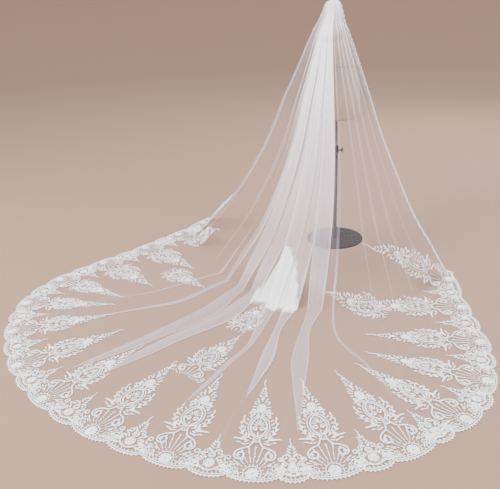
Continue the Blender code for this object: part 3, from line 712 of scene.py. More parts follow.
def largeMotif():
    pattern = Pattern()
    for petal in range(12):    # round patch of satin stitch over the scallop
        heading = 30 * petal
        turn = math.radians(heading)
        pattern.leaf(.003 * math.sin(turn), .038 + .003 * math.cos(turn), heading, .025, .0066)
    pattern.arc((0, .038), .0335, -125, 125, .0017, 16)
    for dash in range(11):     # short stitches all round it
        heading = -110 + 22 * dash
        turn = math.radians(heading)
        pattern.leaf(.036 * math.sin(turn), .038 + .036 * math.cos(turn), heading, .012, .0022)
    for rib in range(9):       # beaded ribs that open from the shell
        heading = -54 + 13.5 * rib
        turn = math.radians(heading)
        reach = .072 + .050 * math.cos(turn * 1.25)
        bead = .050
        while bead < reach:
            wide = .0021 + .0008 * (bead - .050) / (reach - .050)
            pattern.leaf(bead * math.sin(turn), .038 + bead * math.cos(turn), heading, .0150, wide)
            bead += .0125
        pattern.dot((reach + .005) * math.sin(turn), .038 + (reach + .005) * math.cos(turn), .0042)
    for side in (-1, 1):
        for dash in range(7):  # leafy dashes beside the shell
            pattern.leaf(side * (.046 + .012 * dash), .026 + .002 * dash, side * (34 + 8 * dash), .026, .0036)
        for dash in range(5):
            pattern.leaf(side * (.056 + .013 * dash), .070 - .003 * dash, side * (62 + 9 * dash), .021, .0034, side * 30)
        for ring, (x, t, reach) in enumerate(((.066, .050, .0105), (.090, .052, .0085))):
            pattern.arc((side * x, t), reach, 0, 360, .0018, 10)
            pattern.leaf(side * x, t - reach * .6, side * 20 * ring, reach * 1.2, .0022)
        pattern.leaf(side * .047, .098, side * 10, .024, .0032, side * 40)
        pattern.leaf(side * .078, .082, side * 64, .022, .0034, -side * 30)
        pattern.leaf(side * .066, .186, side * 80, .026, .0036, side * 20)
        pattern.scroll([(side * .014, .196), (side * .030, .168), (side * .060, .156)],
                       (side * .060, .124), .0275, .009, side * 22, side * 430, .0030, .0078)
        pattern.scroll([(side * .096, .076), (side * .112, .088)], (side * .104, .106), .0130, .005,
                       side * 60, -side * 330, .0022, .0042)
        pattern.bend([(side * .014, .216), (side * .040, .236), (side * .053, .270), (side * .044, .312),
                      (side * .012, .338)], .0021)
        pattern.bend([(side * .010, .222), (side * .033, .246), (side * .040, .276), (side * .030, .308),
                      (side * .004, .330)], .0030)
        pattern.arc((side * .0175, .262), .0140, side * 100, side * 100 - side * 400, .0024, 12, .0045)
        pattern.dot(side * .0175, .262, .0042)
        stem = pattern.bend([(side * .024, .208), (side * .062, .226), (side * .086, .262), (side * .086, .316)],
                            .0019, .0013)
        for x, t, heading, length in ((.058, .250, 84, .022), (.064, .268, 70, .022), (.062, .288, 60, .022),
                                      (.056, .306, 50, .022), (.046, .322, 40, .020), (.048, .216, 100, .022),
                                      (.036, .200, 120, .022), (.050, .176, 70, .020)):
            pattern.leaf(side * x, t, side * heading, length, .0036, side * 16)
        for number in range(9):    # serrated sprig beside the frame
            x, t = stem[2 + number * (len(stem) - 3) // 9]
            out = 96 - 9 * number if number % 2 else 20 - 6 * number
            pattern.leaf(x, t, side * out, .027 - .0008 * number, .0043, side * 18)
        pattern.leaf(stem[-1][0], stem[-1][1], -side * 6, .024, .0040)
        for number in range(5):    # lower sprig over the scroll
            pattern.leaf(side * (.046 + .010 * number), .196 + .003 * number, side * (48 + 11 * number), .026,
                         .0042, side * 24)
        pattern.leaf(side * .030, .186, side * 96, .030, .0032, -side * 26)
        pattern.scroll([(side * .003, .326), (side * .012, .350), (side * .030, .366)],
                       (side * .040, .351), .0170, .0065, side * -10, side * 380, .0028, .0062)
        pattern.leaf(side * .031, .390, side * 74, .026, .0038, -side * 30)
        pattern.leaf(side * .028, .404, side * 50, .028, .0040, -side * 24)
        pattern.leaf(side * .018, .412, side * 26, .028, .0038, side * 22)
        pattern.leaf(side * .034, .374, side * 96, .022, .0034, side * 30)
        pattern.leaf(side * .005, .322, side * 40, .016, .0026)
        for number in range(4):
            pattern.leaf(side * .003, .458 + .015 * number, side * (58 - 7 * number), .029 - .004 * number, .0038,
                         -side * 22)
        for number in range(3):    # spray of dashes under the waist
            heading = side * (16 + 24 * number)
            turn = math.radians(heading)
            pattern.leaf(.010 * math.sin(turn), .276 + .010 * math.cos(turn), heading, .034 - .003 * number, .0023)
    pattern.leaf(0, .284, 0, .040, .0024)
    pattern.flower(0, .205, 7, .0045, .0115, .0024)
    pattern.arc((0, .205), .0155, 0, 360, .0022, 14)
    pattern.leaf(0, .222, 0, .028, .0030)
    pattern.flower(0, .383, 13, .0058, .0270, .0050, .0024)
    pattern.arc((0, .383), .0265, 0, 360, .0014, 18)
    pattern.flower(0, .446, 8, .0030, .0125, .0032, .0014)
    wave = [(.0052 * math.sin(step * .95), .508 + .0082 * step) for step in range(9)]
    pattern.bend(wave, .0032, .0016, 2)
    pattern.leaf(0, .424, 0, .016, .0034)
    for side in (-1, 1):       # leaves that fill in round the flowers
        for x, t, heading, length in ((.012, .338, 60, .016), (.040, .330, 40, .024), (.052, .350, 70, .018),
                                      (.030, .424, 80, .020), (.020, .436, 60, .022), (.014, .456, 44, .018)):
            pattern.leaf(side * x, t, side * heading, length, .0034, -side * 20)
    pattern.stretch(lace["wide"], lace["high"])
    return pattern


def smallMotif():
    pattern = Pattern()
    for petal in range(11):    # sunburst
        heading = 360.0 * petal / 11
        turn = math.radians(heading)
        pattern.leaf(.003 * math.sin(turn), .066 + .003 * math.cos(turn), heading, .020, .0046)
    pattern.arc((0, .080), .050, -240, -120, .0030, 12)
    pattern.arc((0, .066), .0215, 0, 360, .0015, 14)
    for ray in range(7):       # short rays into the open crescent
        turn = math.radians(-54 + 18 * ray + 180)
        pattern.leaf(.026 * math.sin(turn), .066 + .026 * math.cos(turn), -54 + 18 * ray + 180, .011, .0018)
    for side in (-1, 1):
        for dash in range(5):
            pattern.leaf(side * (.020 + .007 * dash), .084 - .007 * dash, side * (34 + 13 * dash), .027, .0030)
        pattern.scroll([(side * .052, .030), (side * .062, .052)], (side * .050, .064), .0120, .005,
                       side * 96, -side * 300, .0021, .0042)
        pattern.scroll([(side * .008, .124), (side * .020, .134)], (side * .029, .122), .0125, .005,
                       side * -30, side * 330, .0022, .0044)
        for number in range(4):
            pattern.leaf(side * .004, .128 + .014 * number, side * (52 - 7 * number), .030 - .004 * number, .0038,
                         -side * 18)
        pattern.leaf(side * .030, .100, side * 62, .026, .0034, -side * 24)
        pattern.leaf(side * .034, .112, side * 84, .022, .0030, side * 20)
    pattern.flower(0, .108, 7, .0035, .0120, .0030)
    pattern.arc((0, .108), .0145, 0, 360, .0019, 12)
    pattern.leaf(0, .172, 0, .034, .0036)
    pattern.cord([(0, .200), (.003, .208), (0, .216), (-.002, .224)], .0020, .0012)
    return pattern


def bridges():
    # the running ground between a large and a small motif, from the middle of the large one
    pattern = Pattern()
    for side in (-1, 1):
        vine = [(side * (.088 + .0055 * step), .058 + .010 * math.sin(step * 1.1)) for step in range(8)]
        pattern.bend(vine, .0022, None, 2)
        for number in range(4):
            x, t = vine[1 + number * 2 if number < 3 else 7]
            pattern.leaf(x, t, side * (150 if number % 2 else 20), .018, .0034, side * 20)
        for number in range(5):
            pattern.leaf(side * (.094 + .010 * number), .036 + .002 * (number % 2), side * (70 - 20 * (number % 2)),
                         .018, .0032, -side * 16)
        for number in range(3):
            pattern.leaf(side * (.116 + .013 * number), .076 + .005 * number, side * (28 + 14 * number), .024, .0034,
                         side * 20)
        pattern.arc((side * .122, .062), .0095, 0, 360, .0018, 10)
    return pattern


def trimRepeat():
    # narrow lace up a front edge: t along the edge, x inwards from it
    pattern = Pattern()
    pattern.flower(.0165, .030, 7, .0030, .0105, .0030, .0013)
    pattern.bend([(.010, 0), (.026, .010), (.028, .022)], .0016, None, 3)
    pattern.bend([(.010, .060), (.026, .050), (.028, .038)], .0016, None, 3)
    for t, heading in ((.006, 60), (.014, 110), (.046, 70), (.054, 120)):
        pattern.leaf(.014, t, heading, .015, .0028, 20)
    pattern.leaf(.027, .030, 90, .012, .0028)
    return pattern


class Thread:
    # strokes laid on the cloth: places and half widths, ready for the cord tree

    def __init__(self, rise):
        self.rise, self.spots, self.halves, self.edges = rise, [], [], []

    def lay(self, stroke):
        first = len(self.spots)
        for spot, half in stroke:
            self.spots.append(spot)
            self.halves.append(half)
        self.edges += [(first + step, first + step + 1) for step in range(len(stroke) - 1)]


def layPattern(pattern, cords, leaves, spotAt, scale=1.0, side=1, lean=0.0):
    # spotAt gives a place on the cloth from aside, height and lift
    draw = random.Random(lace["seed"] + int(lean * 1000))
    for strokes, thread, bold in ((pattern.cords, cords, lace["boldCord"]), (pattern.leaves, leaves, lace["boldLeaf"])):
        for stroke in strokes:
            dx, dt = draw.uniform(-.0012, .0012), draw.uniform(-.0012, .0012)
            line = []
            for x, t, half in stroke:
                half = half * bold * max(.75, scale)
                lift = half * thread.rise + lace["above"]
                line.append((spotAt((x + dx) * side * scale, (t + dt) * scale, lift), half))
            thread.lay(line)


def cordTree():
    # Geometry Nodes: turns lines with a half width at each point into flattened cords
    tree = bpy.data.node_groups.new("cordOnCloth", "GeometryNodeTree")
    tree.interface.new_socket("Lines", in_out="INPUT", socket_type="NodeSocketGeometry")
    rise = tree.interface.new_socket("Rise", in_out="INPUT", socket_type="NodeSocketFloat")
    sides = tree.interface.new_socket("Sides", in_out="INPUT", socket_type="NodeSocketInt")
    finish = tree.interface.new_socket("Finish", in_out="INPUT", socket_type="NodeSocketMaterial")
    tree.interface.new_socket("Cords", in_out="OUTPUT", socket_type="NodeSocketGeometry")

    def node(kind):
        return tree.nodes.new(kind)

    def link(source, output, target, inlet):
        tree.links.new(source.outputs[output], target.inputs[inlet])

    start, end = node("NodeGroupInput"), node("NodeGroupOutput")
    curve, upright = node("GeometryNodeMeshToCurve"), node("GeometryNodeSetCurveNormal")
    upright.mode = "Z_UP"
    half = node("GeometryNodeInputNamedAttribute")
    half.data_type = "FLOAT"
    half.inputs["Name"].default_value = "half"
    circle, flat, scale = node("GeometryNodeCurvePrimitiveCircle"), node("GeometryNodeTransform"), node("ShaderNodeCombineXYZ")
    circle.inputs["Radius"].default_value = 1.0
    scale.inputs["X"].default_value = 1.0
    scale.inputs["Z"].default_value = 1.0
    sweep, smooth = node("GeometryNodeCurveToMesh"), node("GeometryNodeSetShadeSmooth")
    sweep.inputs["Fill Caps"].default_value = True
    paint, realize = node("GeometryNodeSetMaterial"), node("GeometryNodeRealizeInstances")
    link(start, "Lines", curve, "Mesh")
    link(curve, "Curve", upright, "Curve")
    link(start, "Sides", circle, "Resolution")
    link(circle, "Curve", flat, "Geometry")
    link(start, "Rise", scale, "Y")
    link(scale, "Vector", flat, "Scale")
    link(upright, "Curve", sweep, "Curve")
    link(flat, "Geometry", sweep, "Profile Curve")
    link(half, "Attribute", sweep, "Scale")
    link(sweep, "Mesh", smooth, "Geometry")
    link(smooth, "Geometry", realize, "Geometry")
    link(realize, "Geometry", paint, "Geometry")
    link(start, "Finish", paint, "Material")
    link(paint, "Geometry", end, "Cords")
    return tree, {"rise": rise.identifier, "sides": sides.identifier, "finish": finish.identifier}


cordNodes, cordSockets = cordTree()


def sewn(name, thread, finish):
    # the thread's lines run through the cord tree and made a plain mesh
    mesh = bpy.data.meshes.new(name + "_lines")
    mesh.from_pydata(thread.spots, thread.edges, [])
    mesh.attributes.new("half", "FLOAT", "POINT").data.foreach_set("value", thread.halves)
    item = bpy.data.objects.new(name + "_lines", mesh)
    bpy.context.scene.collection.objects.link(item)
    modifier = item.modifiers.new("cords", "NODES")
    modifier.node_group = cordNodes
    modifier[cordSockets["rise"]] = thread.rise
    modifier[cordSockets["sides"]] = lace["sides"]
    modifier[cordSockets["finish"]] = finish
    item.update_tag()
    result = bpy.data.meshes.new_from_object(item.evaluated_get(bpy.context.evaluated_depsgraph_get()))
    result.name = name
    bpy.data.objects.remove(item)
    if not result.materials:
        result.materials.append(finish)
    for extra in [entry.name for entry in result.attributes if entry.name == "half"]:
        result.attributes.remove(result.attributes[extra])
    piece = bpy.data.objects.new(name, result)
    bpy.context.scene.collection.objects.link(piece)
    return piece


def layHem(cords, leaves, start, stop):
    # the scalloped edge of one stretch: two cords, bars between them and picots
    def edgeAt(distance, inside):
        return onCloth(distance, scallop(distance) + inside, .0016)

    steps = int((stop - start) / .0056)
    pitch = (stop - start) / steps
    for inside, half in ((.0038, .0034), (.0135, .0025)):
        cords.lay([(edgeAt(start + pitch * step, inside), half) for step in range(steps + 1)])
    for step in range(0, steps, 2):
        place = start + pitch * (step + .5)
        cords.lay([(edgeAt(place, .0035), .0016), (edgeAt(place + .003, .0130), .0016)])
    for step in range(1, steps, 3):
        place = start + pitch * step
        leaves.lay([(edgeAt(place, .0030), .0020), (edgeAt(place, -.0010), .0036), (edgeAt(place, -.0050), .0015)])
    for step in range(0, steps, 3):
        place = start + pitch * step
        leaves.lay([(edgeAt(place, .0160), .0012), (edgeAt(place + .003, .0205), .0030),
                    (edgeAt(place + .005, .0255), .0009)])


def layBorder(start, stop):
    large, small, ground = largeMotif(), smallMotif(), bridges()
    cords, leaves = Thread(lace["cordRise"]), Thread(lace["leafRise"])
    layHem(cords, leaves, start, min(stop, hem.length))
    places = lace["places"]
    for number, middle in enumerate(places):
        if not start <= middle < stop:
            continue
        side = 1 if number % 2 else -1
        spotAt = motifPlace(middle)
        layPattern(large, cords, leaves, spotAt, 1.0, side, number)
        layPattern(ground, cords, leaves, spotAt, 1.0, side, number + .3)
        if number < len(places) - 1:
            layPattern(small, cords, leaves, motifPlace((middle + places[number + 1]) / 2.0), 1.0, side, number + .6)
    for number, middle in enumerate(lace["corners"]):
        if not start <= middle < stop:
            continue
        near = places[0] if middle < places[0] else places[-1]
        layPattern(large, cords, leaves, motifPlace(middle), 1.0, 1, number + 60)
        layPattern(small, cords, leaves, motifPlace((middle + near) / 2.0), 1.0, 1, number + 60.6)
    return cords, leaves


# Loose motifs inside the border: base x, base y, way of the tip in degrees, and the height from which the large
# motif is used. The last ones have no solid.
looseMotifs = {
    "places": ((-.04, -1.80, 80.0, .078), (-.03, -1.41, 86.0, .140), (-.82, -.95, 344.0, .140),
               (.66, -.89, 182.0, .140)),
    "solids": 3,
    "scale": 0.84,
    "base": 0.140,             # height in the motif that lies at the base point
}


def layLoose(number):
    large = largeMotif()
    x, y, heading, cut = looseMotifs["places"][number]
    for strokes in (large.cords, large.leaves):
        strokes[:] = [stroke for stroke in strokes if min(spot[1] for spot in stroke) > cut]
    cords, leaves = Thread(lace["cordRise"]), Thread(lace["leafRise"])

    def spotAt(aside, height, lift):
        spot = Vector((x, y)) + polar(heading, height - looseMotifs["base"] * looseMotifs["scale"])
        spot += polar(heading - 90.0, aside)
        return overCloth(spot, lift)

    layPattern(large, cords, leaves, spotAt, looseMotifs["scale"], 1, number + 40)
    return cords, leaves


trim = {
    "repeat": 0.062,
    "wide": 0.036,
    "top": 1.585,              # height at which the trim ends
}


def edgePoint(edge, along, aside, lift):
    # a point near a front edge: along the cloth from the hem's corner, aside from the edge
    right = edge == cloth["rightEdge"]
    corner = 0.0 if right else hem.length
    inwards = 1.0 if right else -1.0
    reach = columnEnd(corner)[4]
    if along <= reach:
        return onCloth(corner + inwards * aside, along, lift)
    level = lineTable(climb, along - reach)
    radius = max(.03, readTable(cloth["profile"], level, 1))
    angle = edge - inwards * math.degrees(aside / radius)
    spot = hangingPoint(angle, level, .0012 + lift * .9)
    return spot + Vector((0.0, 0.0, lift * .5))


def layTrim(edge):
    repeat = trimRepeat()
    cords, leaves = Thread(lace["cordRise"]), Thread(lace["leafRise"])
    corner = 0.0 if edge == cloth["rightEdge"] else hem.length
    reach = columnEnd(corner)[4]
    length = reach + [entry[0] for entry in climb if entry[1] <= trim["top"]][-1]
    count = int(length / trim["repeat"])

    def scallopAt(along):
        return .0045 * abs(math.sin(math.pi * along / trim["repeat"] * 2.0))

    steps = count * 16
    for aside, half in ((.0060, .0027), (.0115, .0017)):
        cords.lay([(edgePoint(edge, length * step / steps, aside - scallopAt(length * step / steps), .0014), half)
                   for step in range(steps + 1)])
    for number in range(count):
        def spotAt(aside, height, lift, base=number * trim["repeat"]):
            return edgePoint(edge, base + height, aside, lift)

        layPattern(repeat, cords, leaves, spotAt, 1.0, 1, number + 80)
    return cords, leaves


def tulleMaterial():
    finish = bpy.data.materials.new("softTulle")
    finish.use_nodes = True
    tree = finish.node_tree
    shader = tree.nodes["Principled BSDF"]
    shader.inputs["Roughness"].default_value = 0.8
    shader.inputs["Sheen Weight"].default_value = 0.25
    place = tree.nodes.new("ShaderNodeUVMap")
    place.uv_map = "clothPlace"
    stretch = tree.nodes.new("ShaderNodeMapping")
    stretch.inputs["Scale"].default_value = (46.0, 0.55, 1.0)
    tree.links.new(place.outputs["UV"], stretch.inputs["Vector"])
    streaks = tree.nodes.new("ShaderNodeTexNoise")
    streaks.inputs["Scale"].default_value = 1.0
    streaks.inputs["Detail"].default_value = 3.0
    tree.links.new(stretch.outputs["Vector"], streaks.inputs["Vector"])
    gather = tree.nodes.new("ShaderNodeAttribute")
    gather.attribute_name = "gather"
    litThick = tree.nodes.new("ShaderNodeMapRange")
    litThick.inputs["From Max"].default_value = net["litWhiteFrom"]
    tree.links.new(gather.outputs["Fac"], litThick.inputs["Value"])
    # painted shade and light: the net's colour runs from a darker lavender in one layer to near white in thick gathers,
    # standing in for shade low down and light higher up
    shadeTint = tree.nodes.new("ShaderNodeMix")
    shadeTint.data_type = "RGBA"
    shadeTint.inputs["A"].default_value = (*net["shadedThin"], 1.0)
    shadeTint.inputs["B"].default_value = (*net["litThick"], 1.0)
    tree.links.new(litThick.outputs["Result"], shadeTint.inputs["Factor"])
    tree.links.new(shadeTint.outputs["Result"], shader.inputs["Base Color"])
    strength = tree.nodes.new("ShaderNodeMapRange")
    strength.inputs["From Min"].default_value = 0.30
    strength.inputs["From Max"].default_value = 0.70
    strength.inputs["To Min"].default_value = 0.55
    strength.inputs["To Max"].default_value = 1.55
    tree.links.new(streaks.outputs["Fac"], strength.inputs["Value"])
    layers = tree.nodes.new("ShaderNodeMath")
    layers.operation = "MULTIPLY"
    tree.links.new(gather.outputs["Fac"], layers.inputs[0])
    tree.links.new(strength.outputs["Result"], layers.inputs[1])
    through = tree.nodes.new("ShaderNodeMath")
    through.operation = "POWER"
    through.inputs[0].default_value = 1.0 - net["cover"]
    tree.links.new(layers.outputs[0], through.inputs[1])
    cover = tree.nodes.new("ShaderNodeMath")
    cover.operation = "SUBTRACT"
    cover.inputs[0].default_value = 1.0
    tree.links.new(through.outputs[0], cover.inputs[1])
    tree.links.new(cover.outputs[0], shader.inputs["Alpha"])
    return finish


def sheetRows():
    # stations of the rows: down the drape, then over the floor
    stations = []
    steps = net["hangingSteps"]
    for low, high in zip(cloth["profile"], cloth["profile"][1:]):
        for step in range(steps):
            stations.append(stationOf(low[0] + (high[0] - low[0]) * step / steps))
    stations.append(1.0)
    stations += [1.0 + step / net["floorRows"] for step in range(1, net["floorRows"] + 1)]
    return stations


def sheetPoint(angle, station, layers):
    distance = distanceAt(angle)
    if station <= 1.0:
        height = stationHeight(station)
        reach = readTable(cloth["profile"], height, 1)
        lift = layers * net["layerHanging"] * min(1.0, 0.25 + reach)
        spot = hangingPoint(angle, height, lift)
        rest = cloth["level"] + layers * net["layer"]
        spot.z = max(spot.z, rest)
        return spot
    reach = columnEnd(distance)[4]
    edge = scallop(distance) + 0.001
    height = (2.0 - station) * (reach - edge) + edge
    spot = floorPoint(distance, 1.0 - height / reach)
    return Vector((spot.x, spot.y, cloth["level"] + layers * net["layer"]))


def layersAt(angle, station, spot):
    # how many flat layers of net the gathered cloth is worth at one point
    if station > 1.0:
        middle, half, tip, layers = net["heap"]
        return 1.0 + layers * ease(half - abs(angle - middle)) * (1.0 - ease((station - 1.0) / .04))
    radius = max(0.05, math.hypot(spot.x, spot.y))
    first, last, soft, gain = net["bunch"]
    inside = ease((first + soft - angle) / soft) * ease((angle - last + soft) / soft)
    start, run, share = net["fade"]
    inside *= (1.0 - share * ease((station - start) / run)) * (1.0 - ease((station - .9) / .1))
    gathered = min(net["mostLayers"], max(1.0, (net["gathersFrom"] / radius) ** net["thicken"]))
    middle, half, tip, layers = net["heap"]
    wide = half * max(0.0, 1.0 - stationHeight(station) / tip) ** 0.6
    heaped = layers * ease(wide - abs(angle - middle))
    return heaped + gathered * (1.0 + (gain - 1.0) * inside)


def pleatGain(angle, station, halves):
    # denser in the layer of a pleat that is folded back, and at its two creases
    third = net["spread"] / 3.0
    away, half = min((abs(angle - pleat["foot"]), half) for pleat, half in zip(pleats, halves))
    if away > third + 0.15:
        return 1.0
    crease = net["crease"] if away > third - 0.15 else 1.0
    if away > third + 0.01:
        return crease
    folded = net["pleatHanging"] + (net["pleatFloor"] - net["pleatHanging"]) * ease((station - 0.80) / 0.25)
    return crease * (1.0 + (folded - 1.0) * ease(half / 0.30))


def buildSheet(finish):
    columns = sheetColumns()
    stations = sheetRows()
    paths = [pleatPath(pleat) for pleat in pleats]
    rows, gathers, count = [], [], len(columns)
    for station in stations:
        row = []
        halves = [pleatState(path, station)[1] for path in paths]
        for (angle, layers), column in zip(creasedRow(columns, paths, station), columns):
            spot = sheetPoint(angle, station, layers)
            row.append(spot)
            gathers.append(layersAt(angle, station, spot) * pleatGain(column, station, halves))
        rows.append(row)
    mesh = bpy.data.meshes.new("veil_net")
    faces = []
    for row in range(len(rows) - 1):
        for column in range(count - 1):
            corner = row * count + column
            faces.append((corner, corner + 1, corner + count + 1, corner + count))
    mesh.from_pydata([spot for row in rows for spot in row], [], faces)
    mesh.shade_smooth()
    attribute = mesh.attributes.new("gather", "FLOAT", "POINT")
    attribute.data.foreach_set("value", gathers)
    places = mesh.uv_layers.new(name="clothPlace")
    along = [0.0]
    middle = count // 2
    for low, high in zip(rows, rows[1:]):
        along.append(along[-1] + (high[middle] - low[middle]).length)
    for loop in mesh.loops:
        row, column = divmod(loop.vertex_index, count)
        places.data[loop.index].uv = (distanceAt(columns[column]), along[row])
    item = addObject("veil_net", mesh, finish)
    return item


def laceMaterial():
    finish = bpy.data.materials.new("laceThread")
    finish.use_nodes = True
    tree = finish.node_tree
    shader = tree.nodes["Principled BSDF"]
    shader.inputs["Roughness"].default_value = 0.62
    shader.inputs["Sheen Weight"].default_value = 0.35
    place = tree.nodes.new("ShaderNodeTexCoord")
    thread = tree.nodes.new("ShaderNodeTexNoise")
    thread.inputs["Scale"].default_value = 620.0
    thread.inputs["Detail"].default_value = 2.0
    tree.links.new(place.outputs["Object"], thread.inputs["Vector"])
    mottledShade = tree.nodes.new("ShaderNodeTexNoise")     # painted shade and sheen: lights and darks along the thread's run that stand in for the shading of the cords' relief
    mottledShade.inputs["Scale"].default_value = 150.0
    mottledShade.inputs["Detail"].default_value = 3.0
    tree.links.new(place.outputs["Object"], mottledShade.inputs["Vector"])
    # the grey end of this ramp is painted shade and the white end painted sheen, laid in random patches over the thread
    shade = tree.nodes.new("ShaderNodeValToRGB")
    shade.color_ramp.elements[0].position = 0.36
    shade.color_ramp.elements[0].color = (0.60, 0.58, 0.62, 1.0)
    shade.color_ramp.elements[1].position = 0.58
    shade.color_ramp.elements[1].color = (0.97, 0.97, 0.99, 1.0)
    tree.links.new(mottledShade.outputs["Fac"], shade.inputs["Fac"])
    tree.links.new(shade.outputs["Color"], shader.inputs["Base Color"])
    bump = tree.nodes.new("ShaderNodeBump")
    bump.inputs["Strength"].default_value = 0.35
    bump.inputs["Distance"].default_value = 0.0006
    tree.links.new(thread.outputs["Fac"], bump.inputs["Height"])
    tree.links.new(bump.outputs["Normal"], shader.inputs["Normal"])
    return finish


tulle = tulleMaterial()
laceFinish = laceMaterial()
veilNet = buildSheet(tulle)
print("net", len(veilNet.data.polygons), "faces")


def lacePair(name, threads, node):
    # the cords and the padded leaves of one stretch of lace, which together stand for its solid
    pieces = []
    for kind, thread in zip(("cords", "leaves"), threads):
        piece = sewn(name + "_" + kind, thread, laceFinish)
        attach(piece, "root")
        if node:
            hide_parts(node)
        pieces.append(piece)
        print(piece.name, sum(len(face.vertices) - 2 for face in piece.data.polygons), "triangles")
    return pieces


# Dress form and stand

def formRing(height, inset=0.0, groove=True):
    ahead, depth, width = formSection(height)
    ring, power = [], 2.0 / form["square"]
    for step in range(form["around"]):
        degree = 360.0 * step / form["around"]
        turn = math.radians(degree)
        off = inset
        if groove:
            away = min(abs(degree - seam) for seam in form["seams"])
            off += form["groove"] * max(0.0, 1.0 - away / 2.6)
        deep = (depth - off) * math.copysign(abs(math.cos(turn)) ** power, math.cos(turn))
        aside = (width - off) * math.copysign(abs(math.sin(turn)) ** power, math.sin(turn))
        spot = polar(cloth["facing"], ahead + deep) + polar(cloth["facing"] + 90.0, aside)
        ring.append((spot.x, spot.y, height))
    return ring


def ringMesh(name, rings, closed=True):
    # a mesh through rings of points, with both ends filled when it is closed
    mesh, count = bmesh.new(), len(rings[0])
    verts = [[mesh.verts.new(spot) for spot in ring] for ring in rings]
    for low, high in zip(verts, verts[1:]):
        for step in range(count):
            after = (step + 1) % count
            mesh.faces.new((low[step], low[after], high[after], high[step]))
    if closed:
        mesh.faces.new(list(reversed(verts[0])))
        mesh.faces.new(verts[-1])
    bmesh.ops.recalc_face_normals(mesh, faces=mesh.faces)
    data = bpy.data.meshes.new(name)
    mesh.to_mesh(data)
    mesh.free()
    data.shade_smooth()
    return data


def jerseyMaterial(name, light, dark, scale):
    finish = bpy.data.materials.new(name)
    finish.use_nodes = True
    tree = finish.node_tree
    shader = tree.nodes["Principled BSDF"]
    shader.inputs["Roughness"].default_value = 0.85
    shader.inputs["Sheen Weight"].default_value = 0.30
    place = tree.nodes.new("ShaderNodeTexCoord")
    stretch = tree.nodes.new("ShaderNodeMapping")
    stretch.inputs["Scale"].default_value = (scale, scale, scale * 0.55)
    knit = tree.nodes.new("ShaderNodeTexNoise")
    knit.inputs["Scale"].default_value = 1.0
    knit.inputs["Detail"].default_value = 3.0
    shade = tree.nodes.new("ShaderNodeValToRGB")
    shade.color_ramp.elements[0].position = 0.32
    shade.color_ramp.elements[0].color = (*dark, 1.0)
    shade.color_ramp.elements[1].position = 0.66
    shade.color_ramp.elements[1].color = (*light, 1.0)
    bump = tree.nodes.new("ShaderNodeBump")
    bump.inputs["Strength"].default_value = 0.30
    bump.inputs["Distance"].default_value = 0.0006
    tree.links.new(place.outputs["Object"], stretch.inputs["Vector"])
    tree.links.new(stretch.outputs["Vector"], knit.inputs["Vector"])
    tree.links.new(knit.outputs["Fac"], shade.inputs["Fac"])
    tree.links.new(shade.outputs["Color"], shader.inputs["Base Color"])
    tree.links.new(knit.outputs["Fac"], bump.inputs["Height"])
    tree.links.new(bump.outputs["Normal"], shader.inputs["Normal"])
    return finish


def metalMaterial(name, colour, roughness, metallic, grain, strength):
    # grain: how fine the marks are along x, y and z
    finish = plainMaterial(name, colour, roughness, metallic)
    tree = finish.node_tree
    shader = tree.nodes["Principled BSDF"]
    place = tree.nodes.new("ShaderNodeTexCoord")
    stretch = tree.nodes.new("ShaderNodeMapping")
    stretch.inputs["Scale"].default_value = grain
    marks = tree.nodes.new("ShaderNodeTexNoise")
    marks.inputs["Scale"].default_value = 1.0
    marks.inputs["Detail"].default_value = 4.0
    gloss = tree.nodes.new("ShaderNodeMapRange")
    gloss.inputs["From Min"].default_value = 0.30
    gloss.inputs["From Max"].default_value = 0.70
    gloss.inputs["To Min"].default_value = roughness - 0.08
    gloss.inputs["To Max"].default_value = roughness + 0.12
    bump = tree.nodes.new("ShaderNodeBump")
    bump.inputs["Strength"].default_value = strength
    bump.inputs["Distance"].default_value = 0.0002
    tree.links.new(place.outputs["Object"], stretch.inputs["Vector"])
    tree.links.new(stretch.outputs["Vector"], marks.inputs["Vector"])
    shader.inputs["Specular IOR Level"].default_value = 0.5 if metallic > 0.5 else 0.12
    tree.links.new(marks.outputs["Fac"], gloss.inputs["Value"])
    tree.links.new(gloss.outputs["Result"], shader.inputs["Roughness"])
    tree.links.new(marks.outputs["Fac"], bump.inputs["Height"])
    tree.links.new(bump.outputs["Normal"], shader.inputs["Normal"])
    return finish


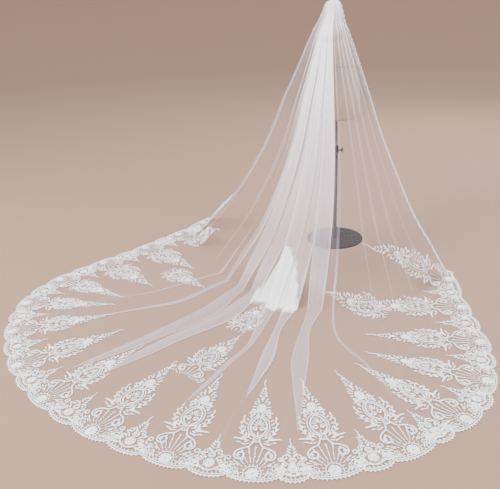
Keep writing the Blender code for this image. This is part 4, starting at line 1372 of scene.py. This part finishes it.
def buildForm():
    jersey = jerseyMaterial("tanJersey", (.56, .41, .275), (.46, .325, .215), 900.0)
    tapeCloth = jerseyMaterial("waistTape", (.48, .35, .23), (.36, .26, .17), 1500.0)
    rings = []
    bottom, top, edge = form["bottom"], form["top"], form["edge"]
    for step in range(7):
        turn = math.pi / 2.0 * step / 7
        rings.append(formRing(bottom + edge * (1.0 - math.cos(turn)), edge * (1.0 - math.sin(turn)), False))
    for row in range(form["rows"] + 1):
        rings.append(formRing(bottom + edge + (top - bottom - edge) * row / form["rows"]))
    body = addObject("form_body", ringMesh("form_body", rings), jersey)
    middle = polar(cloth["facing"], cloth["lean"])
    capRings = []
    for radius, height in reversed(form["cap"][1:-1]):
        capRings.append([crowned(Vector((middle.x + radius * math.cos(math.tau * step / 72),
                                         middle.y + radius * math.sin(math.tau * step / 72), height)))
                         for step in range(72)])
    cap = addObject("form_neck_cap", ringMesh("form_neck_cap", capRings), jersey)
    low, high = form["tape"], form["tape"] + form["tapeHeight"]
    inner, outer = -form["tapeOff"] * .1, -form["tapeOff"]
    tapeRings = [formRing(low, inner, False), formRing(low, outer, False), formRing(high, outer, False),
                 formRing(high, inner, False), formRing(low, inner, False)]
    tape = addObject("form_waist_tape", ringMesh("form_waist_tape", tapeRings, False), tapeCloth)
    for piece, node in ((body, "torso"), (cap, "neck_cap"), (tape, None)):
        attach(piece, "root")
        if node:
            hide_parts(node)
    for name, finish in (
            ("lower_pole", metalMaterial("poleBlack", (.010, .010, .011), .50, .0, (260, 260, 20), .12)),
            ("base_plate", metalMaterial("plateCharcoal", (.016, .014, .0145), .55, .0, (420, 420, 420), .30)),
            ("upper_rod", metalMaterial("rodSteel", (.20, .20, .195), .30, 1.0, (700, 700, 18), .18)),
            ("collar", metalMaterial("collarBlack", (.018, .018, .019), .40, .15, (500, 500, 500), .25)),
            ("clamp_screw", metalMaterial("screwBlack", (.014, .014, .015), .48, .0, (500, 500, 500), .25))):
        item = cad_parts[name]
        item.data.materials.clear()
        item.data.materials.append(finish)


buildForm()
print("form and stand")

lacePieces = []
for side, (start, stop) in zip(("right", "left"), lace["halves"]):
    lacePieces += lacePair("border_" + side, layBorder(start, stop), "lace_border")
for number in range(len(looseMotifs["places"])):
    solid = f"loose_motif_{number + 1}" if number < looseMotifs["solids"] else None
    lacePieces += lacePair(f"loose_motif_{number + 1}_lace", layLoose(number), solid)
lacePieces += lacePair("right_trim", layTrim(cloth["rightEdge"]), "edge_trim_right")
lacePieces += lacePair("left_trim", layTrim(cloth["leftEdge"]), "edge_trim_left")
print("lace")

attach(veilNet, "root")
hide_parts("tulle_right", "tulle_left", "tulle_train")
